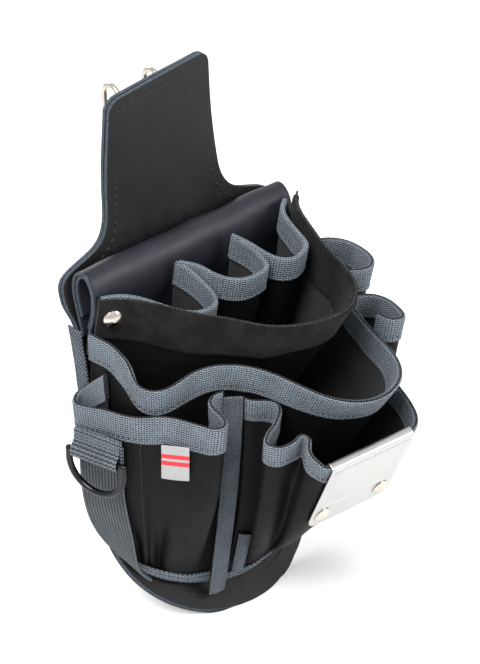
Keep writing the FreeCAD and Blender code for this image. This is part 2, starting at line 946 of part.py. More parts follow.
def plate_body():
    """Steel plate with rounded foot corners, a raised frame and a hook over the rim."""
    body = doc.addObject("PartDesign::Body", "tape_clip_plate")
    height = cell("plate_height")
    corner = cell("plate_corner")
    face = sketch_on(body, "XZ_Plane", "face_outline")
    sides = [
        (0.0, 0.0, 0.0, 0.0),
        (plate_half, 0.0, 0.0, 1.5),
        (plate_half, -height, 0.0, corner),
        (0.0, -height - 1.5, 0.0, 0.0),
    ]
    add_outline(face, rounded(sides))
    add_outline(face, rounded([(-x, y, z, r) for x, y, z, r in sides]))
    pad = body.newObject("PartDesign::Pad", "plate")
    pad.Profile = face
    pad.setExpression("Length", "Sizes.plate_thick")
    hook = sketch_on(body, "YZ_Plane", "hook_section")
    thick = cell("plate_thick")
    depth = cell("plate_hook_depth")
    drop = cell("plate_hook_drop")
    section = [
        (-thick, -2.0),
        (-thick, thick),
        (depth, thick),
        (depth, -drop),
        (depth - thick, -drop),
        (depth - thick, 0.0),
        (0.0, 0.0),
        (0.0, -2.0),
    ]
    for start, end in zip(section, section[1:] + section[:1]):
        hook.addGeometry(Part.LineSegment(Vector(start[0], start[1], 0),
                                          Vector(end[0], end[1], 0)))
    fold = body.newObject("PartDesign::Pad", "hook")
    fold.Profile = hook
    fold.setExpression("Length", "Sizes.plate_width - 1")
    fold.Midplane = True
    holes = sketch_on(body, "XZ_Plane", "rivet_holes")
    for side in (-1, 1):
        middle = Vector(side * cell("plate_rivet_spacing") / 2, -height + cell("plate_rivet_up"), 0)
        holes.addGeometry(Part.Circle(middle, Vector(0, 0, 1), cell("rivet_shank") / 2 + 0.1))
    drill = body.newObject("PartDesign::Pocket", "rivet_holes_cut")
    drill.Profile = holes
    drill.Type = "ThroughAll"
    drill.Midplane = True
    return body


plate = plate_body()
keep(plate, "tape_clip_plate", plate_top, plate_turn)
doc.recompute()

plate_rivet_level = -cell("plate_height") + cell("plate_rivet_up")
plate_way = facing(plate_turn.multVec(Vector(0, -1, 0)))
rivet_places = []
for side in (-1, 1):
    centre = at_plate(side * cell("plate_rivet_spacing") / 2,
                      -cell("plate_thick") - 0.05, plate_rivet_level)
    rivet_places.append((centre, plate_way))
rivet_body("plate_rivets", rivet_places, 5.2)

rim_places = [
    (Vector(-69.5, -27.3, 212), facing(Vector(-0.42, -0.9, 0))),
    (Vector(71.5, -31.5, 222), facing(Vector(0.75, -0.66, 0))),
]
rivet_body("rim_rivets", rim_places, 3.4, cap_behind=False)

# ------------------------------------------------------------------- wire belt clip
tab_rear = [point.y for point in side_offset(2 * leather + gap) if point.z > 250]
rear_face = max(tab_rear) + 0.15
clip_thick = cell("clip_plate_thick")
PIVOT_PLAY = 0.25
wire = cell("clip_wire_dia")
pivot = Vector(cell("clip_offset"), rear_face + clip_thick + wire / 2 + PIVOT_PLAY,
               cell("clip_pivot_level"))


def clip_wire():
    """One wire: pivot bars under the curl, up both sides, over, down and across."""
    half = cell("clip_spacing") / 2
    arch = cell("clip_arch")
    top = cell("clip_top_level") - arch
    foot = cell("clip_foot_level")
    rear = pivot.y + 2 * arch
    bend = 4.0
    corners = [
        (2.0 - half + 8.0, pivot.y, pivot.z, 0.0),
        (-half, pivot.y, pivot.z, bend),
        (-half, pivot.y, top, 0.0),
    ]
    x0 = pivot.x
    left = rounded([(x0 + x, y, z, r) for x, y, z, r in corners])
    arc = Part.Arc(Vector(x0 - half, pivot.y, top),
                   Vector(x0 - half, pivot.y + arch, top + arch),
                   Vector(x0 - half, rear, top)).toShape()
    drop = rounded([
        (x0 - half, rear, top, 0.0),
        (x0 - half, rear, foot, 10.0),
        (x0, rear, foot, 0.0),
    ])
    edges = left + [arc] + drop
    path = Part.Wire(Part.__sortEdges__(edges))
    start = path.OrderedVertexes[0].Point
    along = Vector(1, 0, 0)
    circle = Part.Wire(Part.makeCircle(wire / 2, start, along))
    first = path.makePipeShell([circle], True, False)
    mirrored = first.mirror(Vector(x0, 0, 0), Vector(1, 0, 0))
    return first.fuse(mirrored).removeSplitter()


feature("clip_wire", clip_wire())


CLIP_RIVET_LEVELS = (-8.0, -25.0)
CLIP_RIVET_REACH = 20.0
RIVET_PLAY = 0.1


def clip_plate():
    """Flat plate on the rear of the tab whose middle is curled round the pivot bars."""
    width = cell("clip_plate_width")
    height = cell("clip_plate_height")
    centre = cell("clip_offset")
    front = rear_face
    base = Part.makeBox(width, clip_thick, height,
                        Vector(centre - width / 2, front, pivot.z - height + 2.0))
    curl_length = cell("clip_spacing") - 9.0
    outer = Part.makeCylinder(wire / 2 + cell("clip_clearance") + 1.2, curl_length,
                              Vector(centre - curl_length / 2, pivot.y, pivot.z), Vector(1, 0, 0))
    hole = Part.makeCylinder(wire / 2 + cell("clip_clearance"), curl_length + 2,
                             Vector(centre - curl_length / 2 - 1, pivot.y, pivot.z),
                             Vector(1, 0, 0))
    curl = base.fuse(outer).cut(hole)
    bore = cell("rivet_shank") / 2 + RIVET_PLAY
    for side in (-1, 1):
        for level in CLIP_RIVET_LEVELS:
            curl = curl.cut(Part.makeCylinder(
                bore, 3 * clip_thick,
                Vector(centre + side * CLIP_RIVET_REACH, front - clip_thick, pivot.z + level),
                Vector(0, 1, 0)))
    return curl.removeSplitter()


feature("clip_plate", clip_plate())

clip_places = []
for side in (-1, 1):
    for level in CLIP_RIVET_LEVELS:
        clip_places.append((Vector(cell("clip_offset") + side * CLIP_RIVET_REACH,
                                   rear_face + clip_thick + 0.05, pivot.z + level),
                            facing(Vector(0, 1, 0))))
rivet_body("clip_rivets", clip_places, 3.4, cap_behind=False)

# --------------------------------------------------------------- checks and export
doc.recompute()
for item in doc.Objects:
    if "Invalid" in item.State or "Error" in item.State:
        raise RuntimeError("%s is %s" % (item.Label, item.State))

os.makedirs("parts", exist_ok=True)
whole = FreeCAD.BoundBox()
for item in subparts:
    shape = item.Shape
    if shape.isNull() or not shape.isValid():
        raise RuntimeError("%s has no valid shape" % item.Label)
    whole.add(shape.BoundBox)
    shape.exportStep("parts/%s.step" % item.Label)
    print("%-30s %9.0f mm3  %d solids" % (item.Label, shape.Volume, len(shape.Solids)))
print("whole:", whole)
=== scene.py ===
"""Electrician tool pouch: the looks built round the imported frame.

Shapes are worked out in millimetres on the pouch's own axes: X across the back panel,
Y towards the wearer's hip, Z up from the lowest edge of the curled leather foot.
"""
import math

import bpy
import numpy as np
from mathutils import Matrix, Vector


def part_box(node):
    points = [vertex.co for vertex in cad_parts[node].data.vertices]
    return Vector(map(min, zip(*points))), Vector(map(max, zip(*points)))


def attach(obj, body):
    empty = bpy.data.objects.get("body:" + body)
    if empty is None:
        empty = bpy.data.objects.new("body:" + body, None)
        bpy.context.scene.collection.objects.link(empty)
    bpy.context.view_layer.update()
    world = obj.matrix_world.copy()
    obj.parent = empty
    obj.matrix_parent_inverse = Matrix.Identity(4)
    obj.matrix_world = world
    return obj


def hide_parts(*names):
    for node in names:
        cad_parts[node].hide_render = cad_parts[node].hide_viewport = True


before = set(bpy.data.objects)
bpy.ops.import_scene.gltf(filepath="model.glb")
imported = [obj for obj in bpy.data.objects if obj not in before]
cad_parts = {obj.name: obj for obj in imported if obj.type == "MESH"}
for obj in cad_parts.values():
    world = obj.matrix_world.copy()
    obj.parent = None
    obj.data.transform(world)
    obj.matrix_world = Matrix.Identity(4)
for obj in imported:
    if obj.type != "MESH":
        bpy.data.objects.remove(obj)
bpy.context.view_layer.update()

bl_info = {
    "name": "Electrician Tool Pouch",
    "version": (1, 0, 0),
    "blender": (4, 5, 0),
    "location": "View3D > Sidebar > Pouch",
    "description": "Leather, cloth, webbing and steel pieces of a belt-worn tool pouch",
    "category": "Object",
}

MM = 0.001
TIP_DEPTH = -75.0
low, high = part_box("belt_tunnel")
ACROSS = (low.x + high.x) / 2 / MM
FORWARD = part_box("back_panel_front")[0].y / MM - TIP_DEPTH
ORIGIN = np.array([ACROSS, FORWARD, 0.0])


def srgb(text):
    """Linear red, green and blue of an sRGB hex colour."""
    values = np.array([int(text[i:i + 2], 16) for i in (1, 3, 5)]) / 255
    linear = np.where(values <= 0.04045, values / 12.92, ((values + 0.055) / 1.055) ** 2.4)
    return tuple(float(value) for value in linear)


# ------------------------------------------------------------------ curves and sheets
def cubic(points, count, dense=8):
    """Natural cubic through the points (first axis), read at even steps of its length.

    The second slopes at the points solve the usual three-term system for a curve whose
    ends are straight; between two points the curve is the cubic that those give.
    """
    points = np.asarray(points, float)
    total = len(points)
    flat = points.reshape(total, -1)
    step = np.linalg.norm(np.diff(points, axis=0), axis=-1).reshape(total - 1, -1).mean(1)
    at = np.concatenate([[0], np.cumsum(step)])
    system = np.eye(total)
    right = np.zeros_like(flat)
    inner = np.arange(1, total - 1)
    system[inner, inner - 1] = step[:-1]
    system[inner, inner] = 2 * (step[:-1] + step[1:])
    system[inner, inner + 1] = step[1:]
    slope = np.diff(flat, axis=0) / step[:, None]
    right[1:-1] = 6 * np.diff(slope, axis=0)
    second = np.linalg.solve(system, right)
    place = np.linspace(0, at[-1], max(count * dense, 64))
    cell = np.clip(np.searchsorted(at, place, "right") - 1, 0, total - 2)
    wide = step[cell][:, None]
    a = (at[cell + 1] - place)[:, None]
    b = (place - at[cell])[:, None]
    curve = (
        second[cell] * a ** 3 / (6 * wide)
        + second[cell + 1] * b ** 3 / (6 * wide)
        + (flat[cell] / wide - second[cell] * wide / 6) * a
        + (flat[cell + 1] / wide - second[cell + 1] * wide / 6) * b
    )
    curve = curve.reshape((len(place),) + points.shape[1:])
    run = np.linalg.norm(np.diff(curve, axis=0), axis=-1).reshape(len(place) - 1, -1).mean(1)
    run = np.concatenate([[0], np.cumsum(run)])
    even = np.linspace(0, run[-1], count)
    low = np.clip(np.searchsorted(run, even, "right") - 1, 0, len(run) - 2)
    share = ((even - run[low]) / (run[low + 1] - run[low])).reshape(
        (-1,) + (1,) * (points.ndim - 1))
    return curve[low] * (1 - share) + curve[low + 1] * share


def length_of(points):
    return float(np.linalg.norm(np.diff(points, axis=0), axis=-1).sum())


def loft(rows, across, down):
    """Sheet through rows from rim to foot: each row made even, then a cubic down each column."""
    even = np.stack([cubic(row, across) for row in rows])
    if len(rows) == 2:
        share = np.linspace(0, 1, down)[:, None, None]
        sheet = even[0] * (1 - share) + even[1] * share
    else:
        sheet = cubic(even, down)
    return sheet.transpose(1, 0, 2)


def normalised(vectors):
    return vectors / np.maximum(np.linalg.norm(vectors, axis=-1, keepdims=True), 1e-9)


def facing_of(sheet):
    """Unit vectors square to a sheet: run along it crossed with run down it."""
    return normalised(np.cross(np.gradient(sheet, axis=0), np.gradient(sheet, axis=1)))


def lengths_of(sheet):
    """Distance along and down a sheet at each of its points, in millimetres."""
    along = np.linalg.norm(np.diff(sheet, axis=0), axis=-1).mean(1)
    down = np.linalg.norm(np.diff(sheet, axis=1), axis=-1).mean(0)
    u = np.concatenate([[0], np.cumsum(along)])
    v = np.concatenate([[0], np.cumsum(down)])
    return np.stack(np.meshgrid(u, v, indexing="ij"), -1)


def hill(distance, width):
    """Bell curve: 1 at no distance, e to the minus one at the width."""
    return np.exp(-(distance / width) ** 2)


def step_up(value, start, end):
    share = np.clip((value - start) / (end - start), 0, 1)
    return share * share * (3 - 2 * share)


def ripple(u, v, scale, seed):
    """Smooth unevenness between about -1 and 1: six waves of mixed direction and length."""
    dice = np.random.default_rng(seed)
    total = np.zeros_like(u)
    for _ in range(6):
        angle = dice.uniform(0, 2 * math.pi)
        wave = dice.uniform(0.6, 1.9) / scale
        phase = dice.uniform(0, 2 * math.pi)
        total += np.sin((u * math.cos(angle) + v * math.sin(angle)) * wave * 2 * math.pi + phase)
    return total / 3.2


# ----------------------------------------------------------------------- mesh making
def put_mesh(name, points, faces, materials, spread=None, kinds=None, smooth=True):
    """A mesh object from whole arrays: points in mm, four-cornered faces, UV in mm."""
    mesh = bpy.data.meshes.new(name)
    points = (np.asarray(points, float).reshape(-1, 3) + ORIGIN) * MM
    faces = np.asarray(faces, np.int32).reshape(-1, 4)
    mesh.vertices.add(len(points))
    mesh.vertices.foreach_set("co", points.astype(np.float32).ravel())
    mesh.loops.add(faces.size)
    mesh.loops.foreach_set("vertex_index", faces.ravel())
    mesh.polygons.add(len(faces))
    mesh.polygons.foreach_set("loop_start", np.arange(0, faces.size, 4, dtype=np.int32))
    for material in materials:
        mesh.materials.append(material)
    if kinds is not None:
        mesh.polygons.foreach_set("material_index", np.asarray(kinds, np.int32))
    mesh.update(calc_edges=True)
    if spread is not None:
        layer = mesh.uv_layers.new(name="cloth_mm")
        layer.data.foreach_set("uv", np.asarray(spread, np.float32).reshape(-1, 2)[faces.ravel()].ravel())
    mesh.validate()
    if smooth:
        mesh.shade_smooth()
    piece = bpy.data.objects.new(name, mesh)
    bpy.context.scene.collection.objects.link(piece)
    return piece


def grid_faces(across, down, first=0, wrap=False):
    """Quads of a grid whose points run down first, then across; wrap closes the down way."""
    i, j = np.meshgrid(np.arange(across - 1), np.arange(down if wrap else down - 1), indexing="ij")
    k = (j + 1) % down
    quads = np.stack([i * down + j, (i + 1) * down + j, (i + 1) * down + k, i * down + k], -1)
    return first + quads.reshape(-1, 4)


def slab(sheet, thickness, offset=0.0, bulge=0.0):
    """Closed skin round a sheet: outer face, inner face and a rounded rim between them.

    The faces lie half the thickness each side of the sheet moved by the offset along its
    facing, and the rim's two middle loops stand out by the bulge.
    Returns points, faces, UV in mm, and 0, 1 or 2 for outer, inner and rim faces.
    """
    across, down = sheet.shape[:2]
    facing = facing_of(sheet)
    spread = lengths_of(sheet)
    outer = sheet + facing * (offset + thickness / 2)
    inner = sheet + facing * (offset - thickness / 2)
    size = across * down
    i = np.concatenate([np.arange(across), np.full(down - 1, across - 1),
                        np.arange(across - 2, -1, -1), np.zeros(down - 2, int)])
    j = np.concatenate([np.zeros(across, int), np.arange(1, down),
                        np.full(across - 1, down - 1), np.arange(down - 2, 0, -1)])
    inside = sheet[np.clip(i, 1, across - 2), np.clip(j, 1, down - 2)]
    out = normalised(sheet[i, j] - inside)
    loops = [outer[i, j] * (1 - t) + inner[i, j] * t + out * bulge for t in (0.3, 0.7)]
    rim_uv = spread[i, j]
    points = np.concatenate([outer.reshape(-1, 3), inner.reshape(-1, 3)] + loops)
    uv = np.concatenate([spread.reshape(-1, 2)] * 2 + [rim_uv, rim_uv])
    count = len(i)
    edge = i * down + j
    rings = [edge, 2 * size + np.arange(count), 2 * size + count + np.arange(count), size + edge]
    rim = []
    for near, far in zip(rings[:-1], rings[1:]):
        rim.append(np.stack([near, far, np.roll(far, -1), np.roll(near, -1)], -1))
    rim = np.concatenate(rim)
    front = grid_faces(across, down)
    back = grid_faces(across, down, size)[:, ::-1]
    faces = np.concatenate([front, back, rim])
    kinds = np.repeat([0, 1, 2], [len(front), len(back), len(rim)])
    return points, faces, uv, kinds


def capped_rings(rings):
    """Faces of a swept closed outline with strip caps at both ends."""
    total, around = rings.shape[:2]
    sides = grid_faces(total, around, 0, wrap=True)
    half = around // 2
    k = np.arange(half - 1)
    start = np.stack([k, k + 1, around - 2 - k, around - 1 - k], -1)
    end = start[:, ::-1] + (total - 1) * around
    return np.concatenate([sides, start, end])


def outward(points, faces):
    """Flip a closed skin whose signed volume is negative."""
    a, b, c, d = (points.reshape(-1, 3)[faces[:, n]] for n in range(4))
    volume = (a * np.cross(b, c)).sum() + (a * np.cross(c, d)).sum()
    return faces if volume > 0 else faces[:, ::-1]


def join(parts):
    """Several (points, faces, UV, kinds) sets as one."""
    points, faces, uv, kinds, base = [], [], [], [], 0
    for part in parts:
        points.append(part[0].reshape(-1, 3))
        faces.append(part[1] + base)
        uv.append(part[2].reshape(-1, 2))
        kinds.append(part[3])
        base += len(points[-1])
    return tuple(np.concatenate(x) for x in (points, faces, uv, kinds))


def tape_fold(top, down, width, half, skin, seed, stitch_row=3.2, uneven=0.25):
    """Webbing folded over a rim: an upside-down U outline carried along the rim.

    The outline goes up the outer leg, round the half circle on top and down the inner
    leg, then back along the inside of the tape. The legs are nipped in at the stitch row,
    and the width and stand of the tape waver slowly along the run.
    """
    run = normalised(np.gradient(top, axis=0))
    out = normalised(np.cross(down, run))
    level = np.stack([run[:, 1], -run[:, 0], np.zeros(len(run))], -1)
    out = np.where((out * level).sum(-1, keepdims=True) < 0, -out, out)
    u = np.concatenate([[0], np.cumsum(np.linalg.norm(np.diff(top, axis=0), axis=-1))])
    leg = np.linspace(1, 0, 13)
    turn = np.linspace(0, math.pi, 11)[1:-1]

    def side(reach, foot):
        """One surface of the tape: out and down distances from foot to foot."""
        depth = foot + (reach - foot) * (1 - leg)
        nip = 0.35 * hill(depth - (width - stitch_row), 1.1)
        away = reach - nip + 0.18 * hill(depth - width, 1.2)
        a = np.concatenate([away, reach * np.cos(turn), -away[::-1]])
        b = np.concatenate([depth, half - reach * np.sin(turn) + 0 * turn, depth[::-1]])
        b[:13] = foot + (half - foot) * (1 - leg)
        b[-13:] = b[:13][::-1]
        return np.stack([a, b], -1)

    outer = side(half, width)
    inner = side(half - skin, width - 0.35)[::-1]
    outline = np.concatenate([outer, inner])
    waver_a = ripple(u, 0 * u, 38, seed) * uneven
    waver_b = ripple(u, 0 * u + 9, 30, seed + 1) * uneven * 1.4
    share = outline[:, 1] / width
    profile = np.repeat(outline[None], len(top), 0)
    profile[:, :, 0] += waver_a[:, None] * share[None] * np.sign(outline[:, 0])[None]
    profile[:, :, 1] += waver_b[:, None] * share[None]
    rings = top[:, None] + out[:, None] * profile[..., :1] + down[:, None] * profile[..., 1:]
    v = np.concatenate([[0], np.cumsum(np.linalg.norm(np.diff(outline, axis=0), axis=-1))])
    v[len(outer):] = v[len(outer) - 1] - (v[len(outer):] - v[len(outer)])
    uv = np.stack(np.broadcast_arrays(u[:, None], v[None]), -1)
    faces = outward(rings, capped_rings(rings))
    return rings, faces, uv, np.zeros(len(faces), int)


def stitches(path, facing, pitch, long, thick, sink=0.25):
    """Thread stitches stamped along a path: small six-sided humps, a few dozen faces each."""
    total = max(int(length_of(path) / pitch), 2)
    even = np.linspace(0, len(path) - 1, total * 2 + 1)[1::2]
    low = np.clip(even.astype(int), 0, len(path) - 2)
    share = (even - low)[:, None]
    place = path[low] * (1 - share) + path[low + 1] * share
    ahead = normalised(path[low + 1] - path[low])
    up = normalised(facing[low] * (1 - share) + facing[low + 1] * share)
    side = normalised(np.cross(up, ahead))
    up = np.cross(ahead, side)
    t = np.linspace(-1, 1, 6)
    angle = np.linspace(0, 2 * math.pi, 7)[:-1]
    girth = np.sqrt(np.clip(1 - t ** 4, 0.02, 1)) * thick / 2
    hump = (1 - t ** 2) * 0.25 * thick - sink * thick
    a = np.broadcast_to(t[:, None] * long / 2, (6, 6))
    b = girth[:, None] * np.cos(angle)[None]
    c = girth[:, None] * np.sin(angle)[None] + hump[:, None]
    one = np.stack([a, b, c], -1).reshape(-1, 3)
    points = (place[:, None] + ahead[:, None] * one[None, :, :1]
              + side[:, None] * one[None, :, 1:2] + up[:, None] * one[None, :, 2:])
    sides = grid_faces(6, 6, 0, wrap=True)
    caps = np.array([[0, 1, 2, 3], [0, 3, 4, 5], [33, 32, 31, 30], [35, 34, 33, 30]])
    body = outward(one, np.concatenate([sides, caps]))
    faces = body[None] + (np.arange(total) * 36)[:, None, None]
    uv = np.zeros((total * 36, 2))
    return points.reshape(-1, 3), faces.reshape(-1, 4), uv, np.zeros(total * len(body), int)


# ------------------------------------------------------------------------- materials
def add_node(tree, kind, inputs=None, **settings):
    """Add a shader node, set its settings, and set or link its inputs."""
    made = tree.nodes.new("ShaderNode" + kind)
    for name, value in settings.items():
        setattr(made, name, value)
    for key, value in (inputs or {}).items():
        if isinstance(value, bpy.types.NodeSocket):
            tree.links.new(value, made.inputs[key])
        else:
            made.inputs[key].default_value = value
    return made


def start_material(name, **sockets):
    """A material by name with its shader's plain sockets set; returns it and its parts."""
    material = bpy.data.materials.new(name)
    material.use_nodes = True
    tree = material.node_tree
    shader = tree.nodes["Principled BSDF"]
    for key, value in sockets.items():
        shader.inputs[key.replace("_", " ")].default_value = value
    return material, tree, shader


def colour4(colour, share=1.0):
    return tuple(channel * share for channel in colour) + (1.0,)


def woven(name, light, dark, pitch, dash, slant, roughness, depth, wear=0.18):
    """Webbing: columns a pitch wide whose threads slant in turn left and right.

    The height is a sine of (distance across + slant * folded distance along) over the
    dash, times a groove between the columns. It colours the threads with painted highlight on their tops
    and painted shade in the grooves, and lifts them.
    """
    material, tree, shader = start_material(name, Roughness=roughness, Sheen_Weight=0.08,
                                            Sheen_Roughness=0.5,
                                            Specular_IOR_Level=0.25)
    place = add_node(tree, "UVMap", uv_map="cloth_mm")
    parts = add_node(tree, "SeparateXYZ", {0: place.outputs[0]})
    fuzz = add_node(tree, "TexNoise", {"Vector": place.outputs[0], "Scale": 0.9, "Detail": 3.0})
    fold = add_node(tree, "Math", {0: parts.outputs[0], 1: pitch}, operation="PINGPONG")
    lean = add_node(tree, "Math", {0: fold.outputs[0], 1: slant, 2: parts.outputs[1]},
                    operation="MULTIPLY_ADD")
    jitter = add_node(tree, "Math", {0: fuzz.outputs[0], 1: dash * 0.5, 2: lean.outputs[0]},
                      operation="MULTIPLY_ADD")
    turn = add_node(tree, "Math", {0: jitter.outputs[0], 1: 2 * math.pi / dash}, operation="MULTIPLY")
    wave = add_node(tree, "Math", {0: turn.outputs[0]}, operation="SINE")
    thread = add_node(tree, "Math", {0: wave.outputs[0], 1: 0.5, 2: 0.5}, operation="MULTIPLY_ADD")
    gap_turn = add_node(tree, "Math", {0: parts.outputs[0], 1: math.pi / pitch}, operation="MULTIPLY")
    gap_wave = add_node(tree, "Math", {0: gap_turn.outputs[0]}, operation="SINE")
    gap = add_node(tree, "Math", {0: gap_wave.outputs[0]}, operation="ABSOLUTE")
    open_gap = add_node(tree, "Math", {0: gap.outputs[0], 1: 0.6}, operation="POWER")
    height = add_node(tree, "Math", {0: thread.outputs[0], 1: open_gap.outputs[0]},
                      operation="MULTIPLY")
    broad = add_node(tree, "TexNoise", {"Vector": place.outputs[0], "Scale": 0.06, "Detail": 2.0})
    shade = add_node(tree, "MapRange", {0: broad.outputs[0], 1: 0.3, 2: 0.7, 3: 1 - wear, 4: 1 + wear})
    # painted highlight on the thread tops and painted shade in the grooves, mixed by the height
    mix = add_node(tree, "Mix", {0: height.outputs[0], 6: colour4(dark), 7: colour4(light)},
                   data_type="RGBA")
    tone = add_node(tree, "Mix", {0: 1.0, 6: mix.outputs[2], 7: shade.outputs[0]},
                    data_type="RGBA", blend_type="MULTIPLY")
    bump = add_node(tree, "Bump", {"Strength": 1.0, "Distance": depth * MM, "Height": height.outputs[0]})
    tree.links.new(tone.outputs[2], shader.inputs["Base Color"])
    tree.links.new(bump.outputs[0], shader.inputs["Normal"])
    return material


def twill(name, light, dark, pitch, slope, roughness, depth, sheen=0.05):
    """Twill cloth: slanting ribs, a sine of (along + slope * down) over the pitch, with painted highlight
    on the rib tops and painted shade in the grooves.
    """
    material, tree, shader = start_material(name, Roughness=roughness, Sheen_Weight=sheen,
                                            Sheen_Roughness=0.45,
                                            Specular_IOR_Level=0.15)
    place = add_node(tree, "UVMap", uv_map="cloth_mm")
    parts = add_node(tree, "SeparateXYZ", {0: place.outputs[0]})
    fuzz = add_node(tree, "TexNoise", {"Vector": place.outputs[0], "Scale": 1.1, "Detail": 4.0})
    lean = add_node(tree, "Math", {0: parts.outputs[1], 1: slope, 2: parts.outputs[0]},
                    operation="MULTIPLY_ADD")
    jitter = add_node(tree, "Math", {0: fuzz.outputs[0], 1: pitch * 0.7, 2: lean.outputs[0]},
                      operation="MULTIPLY_ADD")
    turn = add_node(tree, "Math", {0: jitter.outputs[0], 1: 2 * math.pi / pitch}, operation="MULTIPLY")
    wave = add_node(tree, "Math", {0: turn.outputs[0]}, operation="SINE")
    rib = add_node(tree, "Math", {0: wave.outputs[0], 1: 0.5, 2: 0.5}, operation="MULTIPLY_ADD")
    cross = add_node(tree, "Math", {0: parts.outputs[1], 1: 2 * math.pi / (pitch * 0.8)},
                     operation="MULTIPLY")
    cross_wave = add_node(tree, "Math", {0: cross.outputs[0]}, operation="SINE")
    height = add_node(tree, "Math", {0: cross_wave.outputs[0], 1: 0.2, 2: rib.outputs[0]},
                      operation="MULTIPLY_ADD")
    broad = add_node(tree, "TexNoise", {"Vector": place.outputs[0], "Scale": 0.05, "Detail": 3.0})
    shade = add_node(tree, "MapRange", {0: broad.outputs[0], 1: 0.3, 2: 0.7, 3: 0.8, 4: 1.2})
    # painted highlight on the rib tops and painted shade in the grooves, mixed by the height
    mix = add_node(tree, "Mix", {0: height.outputs[0], 6: colour4(dark), 7: colour4(light)},
                   data_type="RGBA")
    tone = add_node(tree, "Mix", {0: 1.0, 6: mix.outputs[2], 7: shade.outputs[0]},
                    data_type="RGBA", blend_type="MULTIPLY")
    bump = add_node(tree, "Bump", {"Strength": 1.0, "Distance": depth * MM, "Height": height.outputs[0]})
    tree.links.new(tone.outputs[2], shader.inputs["Base Color"])
    tree.links.new(bump.outputs[0], shader.inputs["Normal"])
    return material


def hide(name, light, dark, grain, roughness, depth, smear=1.0, **sockets):
    """Leather or suede: cells a grain wide over clouds ten times larger, lit and lifted."""
    material, tree, shader = start_material(name, Roughness=roughness, **sockets)
    place = add_node(tree, "TexCoord").outputs["Object"]
    cells = add_node(tree, "TexVoronoi", {"Vector": place, "Scale": 1 / (grain * MM)},
                     feature="SMOOTH_F1")
    clouds = add_node(tree, "TexNoise", {"Vector": place, "Scale": 0.12 / (grain * MM), "Detail": 5.0,
                                         "Roughness": 0.65})
    fine = add_node(tree, "TexNoise", {"Vector": place, "Scale": 1.4 / (grain * MM), "Detail": 3.0})
    share = add_node(tree, "MapRange", {0: clouds.outputs[0], 1: 0.5 - 0.22 / smear,
                                        2: 0.5 + 0.22 / smear})
    blend = add_node(tree, "Mix", {0: 0.45, 2: share.outputs[0], 3: fine.outputs[0]})
    mix = add_node(tree, "Mix", {0: blend.outputs[0], 6: colour4(dark), 7: colour4(light)},
                   data_type="RGBA")
    both = add_node(tree, "Math", {0: cells.outputs[0], 1: 0.6, 2: fine.outputs[0]},
                    operation="MULTIPLY_ADD")
    bump = add_node(tree, "Bump", {"Strength": 1.0, "Distance": depth * MM, "Height": both.outputs[0]})
    gloss = add_node(tree, "MapRange", {0: clouds.outputs[0], 1: 0.3, 2: 0.7,
                                        3: roughness - 0.07, 4: roughness + 0.07})
    tree.links.new(gloss.outputs[0], shader.inputs["Roughness"])
    tree.links.new(mix.outputs[2], shader.inputs["Base Color"])
    tree.links.new(bump.outputs[0], shader.inputs["Normal"])
    return material


def metal(name, light, dark, roughness, stretch, scratch):
    """Metal: long thin noise stretched along one way for the marks of brushing or handling."""
    material, tree, shader = start_material(name, Metallic=1.0, Roughness=roughness)
    place = add_node(tree, "TexCoord").outputs["Object"]
    drawn = add_node(tree, "Mapping", {"Vector": place, "Scale": stretch})
    lines = add_node(tree, "TexNoise", {"Vector": drawn.outputs[0], "Scale": 900.0, "Detail": 4.0})
    mix = add_node(tree, "Mix", {0: lines.outputs[0], 6: colour4(dark), 7: colour4(light)},
                   data_type="RGBA")
    gloss = add_node(tree, "MapRange", {0: lines.outputs[0], 1: 0.3, 2: 0.7,
                                        3: roughness - 0.06, 4: roughness + 0.08})
    bump = add_node(tree, "Bump", {"Strength": 1.0, "Distance": scratch * MM,
                                   "Height": lines.outputs[0]})
    tree.links.new(mix.outputs[2], shader.inputs["Base Color"])
    tree.links.new(gloss.outputs[0], shader.inputs["Roughness"])
    tree.links.new(bump.outputs[0], shader.inputs["Normal"])
    return material


def striped_label(name, ground, stripe):
    """Woven label: fine cross threads and plain stripes across its height."""
    material, tree, shader = start_material(name, Roughness=0.7, Sheen_Weight=0.2)
    place = add_node(tree, "UVMap", uv_map="cloth_mm")
    parts = add_node(tree, "SeparateXYZ", {0: place.outputs[0]})
    thread = add_node(tree, "Math", {0: parts.outputs[1], 1: 2 * math.pi / 0.7}, operation="MULTIPLY")
    wave = add_node(tree, "Math", {0: thread.outputs[0]}, operation="SINE")
    ramp = add_node(tree, "ValToRGB", {0: add_node(tree, "MapRange", {
        0: parts.outputs[1], 1: 0.0, 2: 20.0}).outputs[0]})
    ramp.color_ramp.interpolation = "CONSTANT"
    stops = [(0.0, ground), (0.28, stripe), (0.42, ground), (0.50, stripe), (0.64, ground)]
    while len(ramp.color_ramp.elements) < len(stops):
        ramp.color_ramp.elements.new(0.5)
    for element, (at, colour) in zip(ramp.color_ramp.elements, stops):
        element.position = at
        element.color = colour4(colour)
    shade = add_node(tree, "MapRange", {0: wave.outputs[0], 1: -1.0, 2: 1.0, 3: 0.82, 4: 1.05})
    tone = add_node(tree, "Mix", {0: 1.0, 6: ramp.outputs[0], 7: shade.outputs[0]},
                    data_type="RGBA", blend_type="MULTIPLY")
    bump = add_node(tree, "Bump", {"Strength": 0.6, "Distance": 0.1 * MM, "Height": wave.outputs[0]})
    tree.links.new(tone.outputs[2], shader.inputs["Base Color"])
    tree.links.new(bump.outputs[0], shader.inputs["Normal"])
    return material


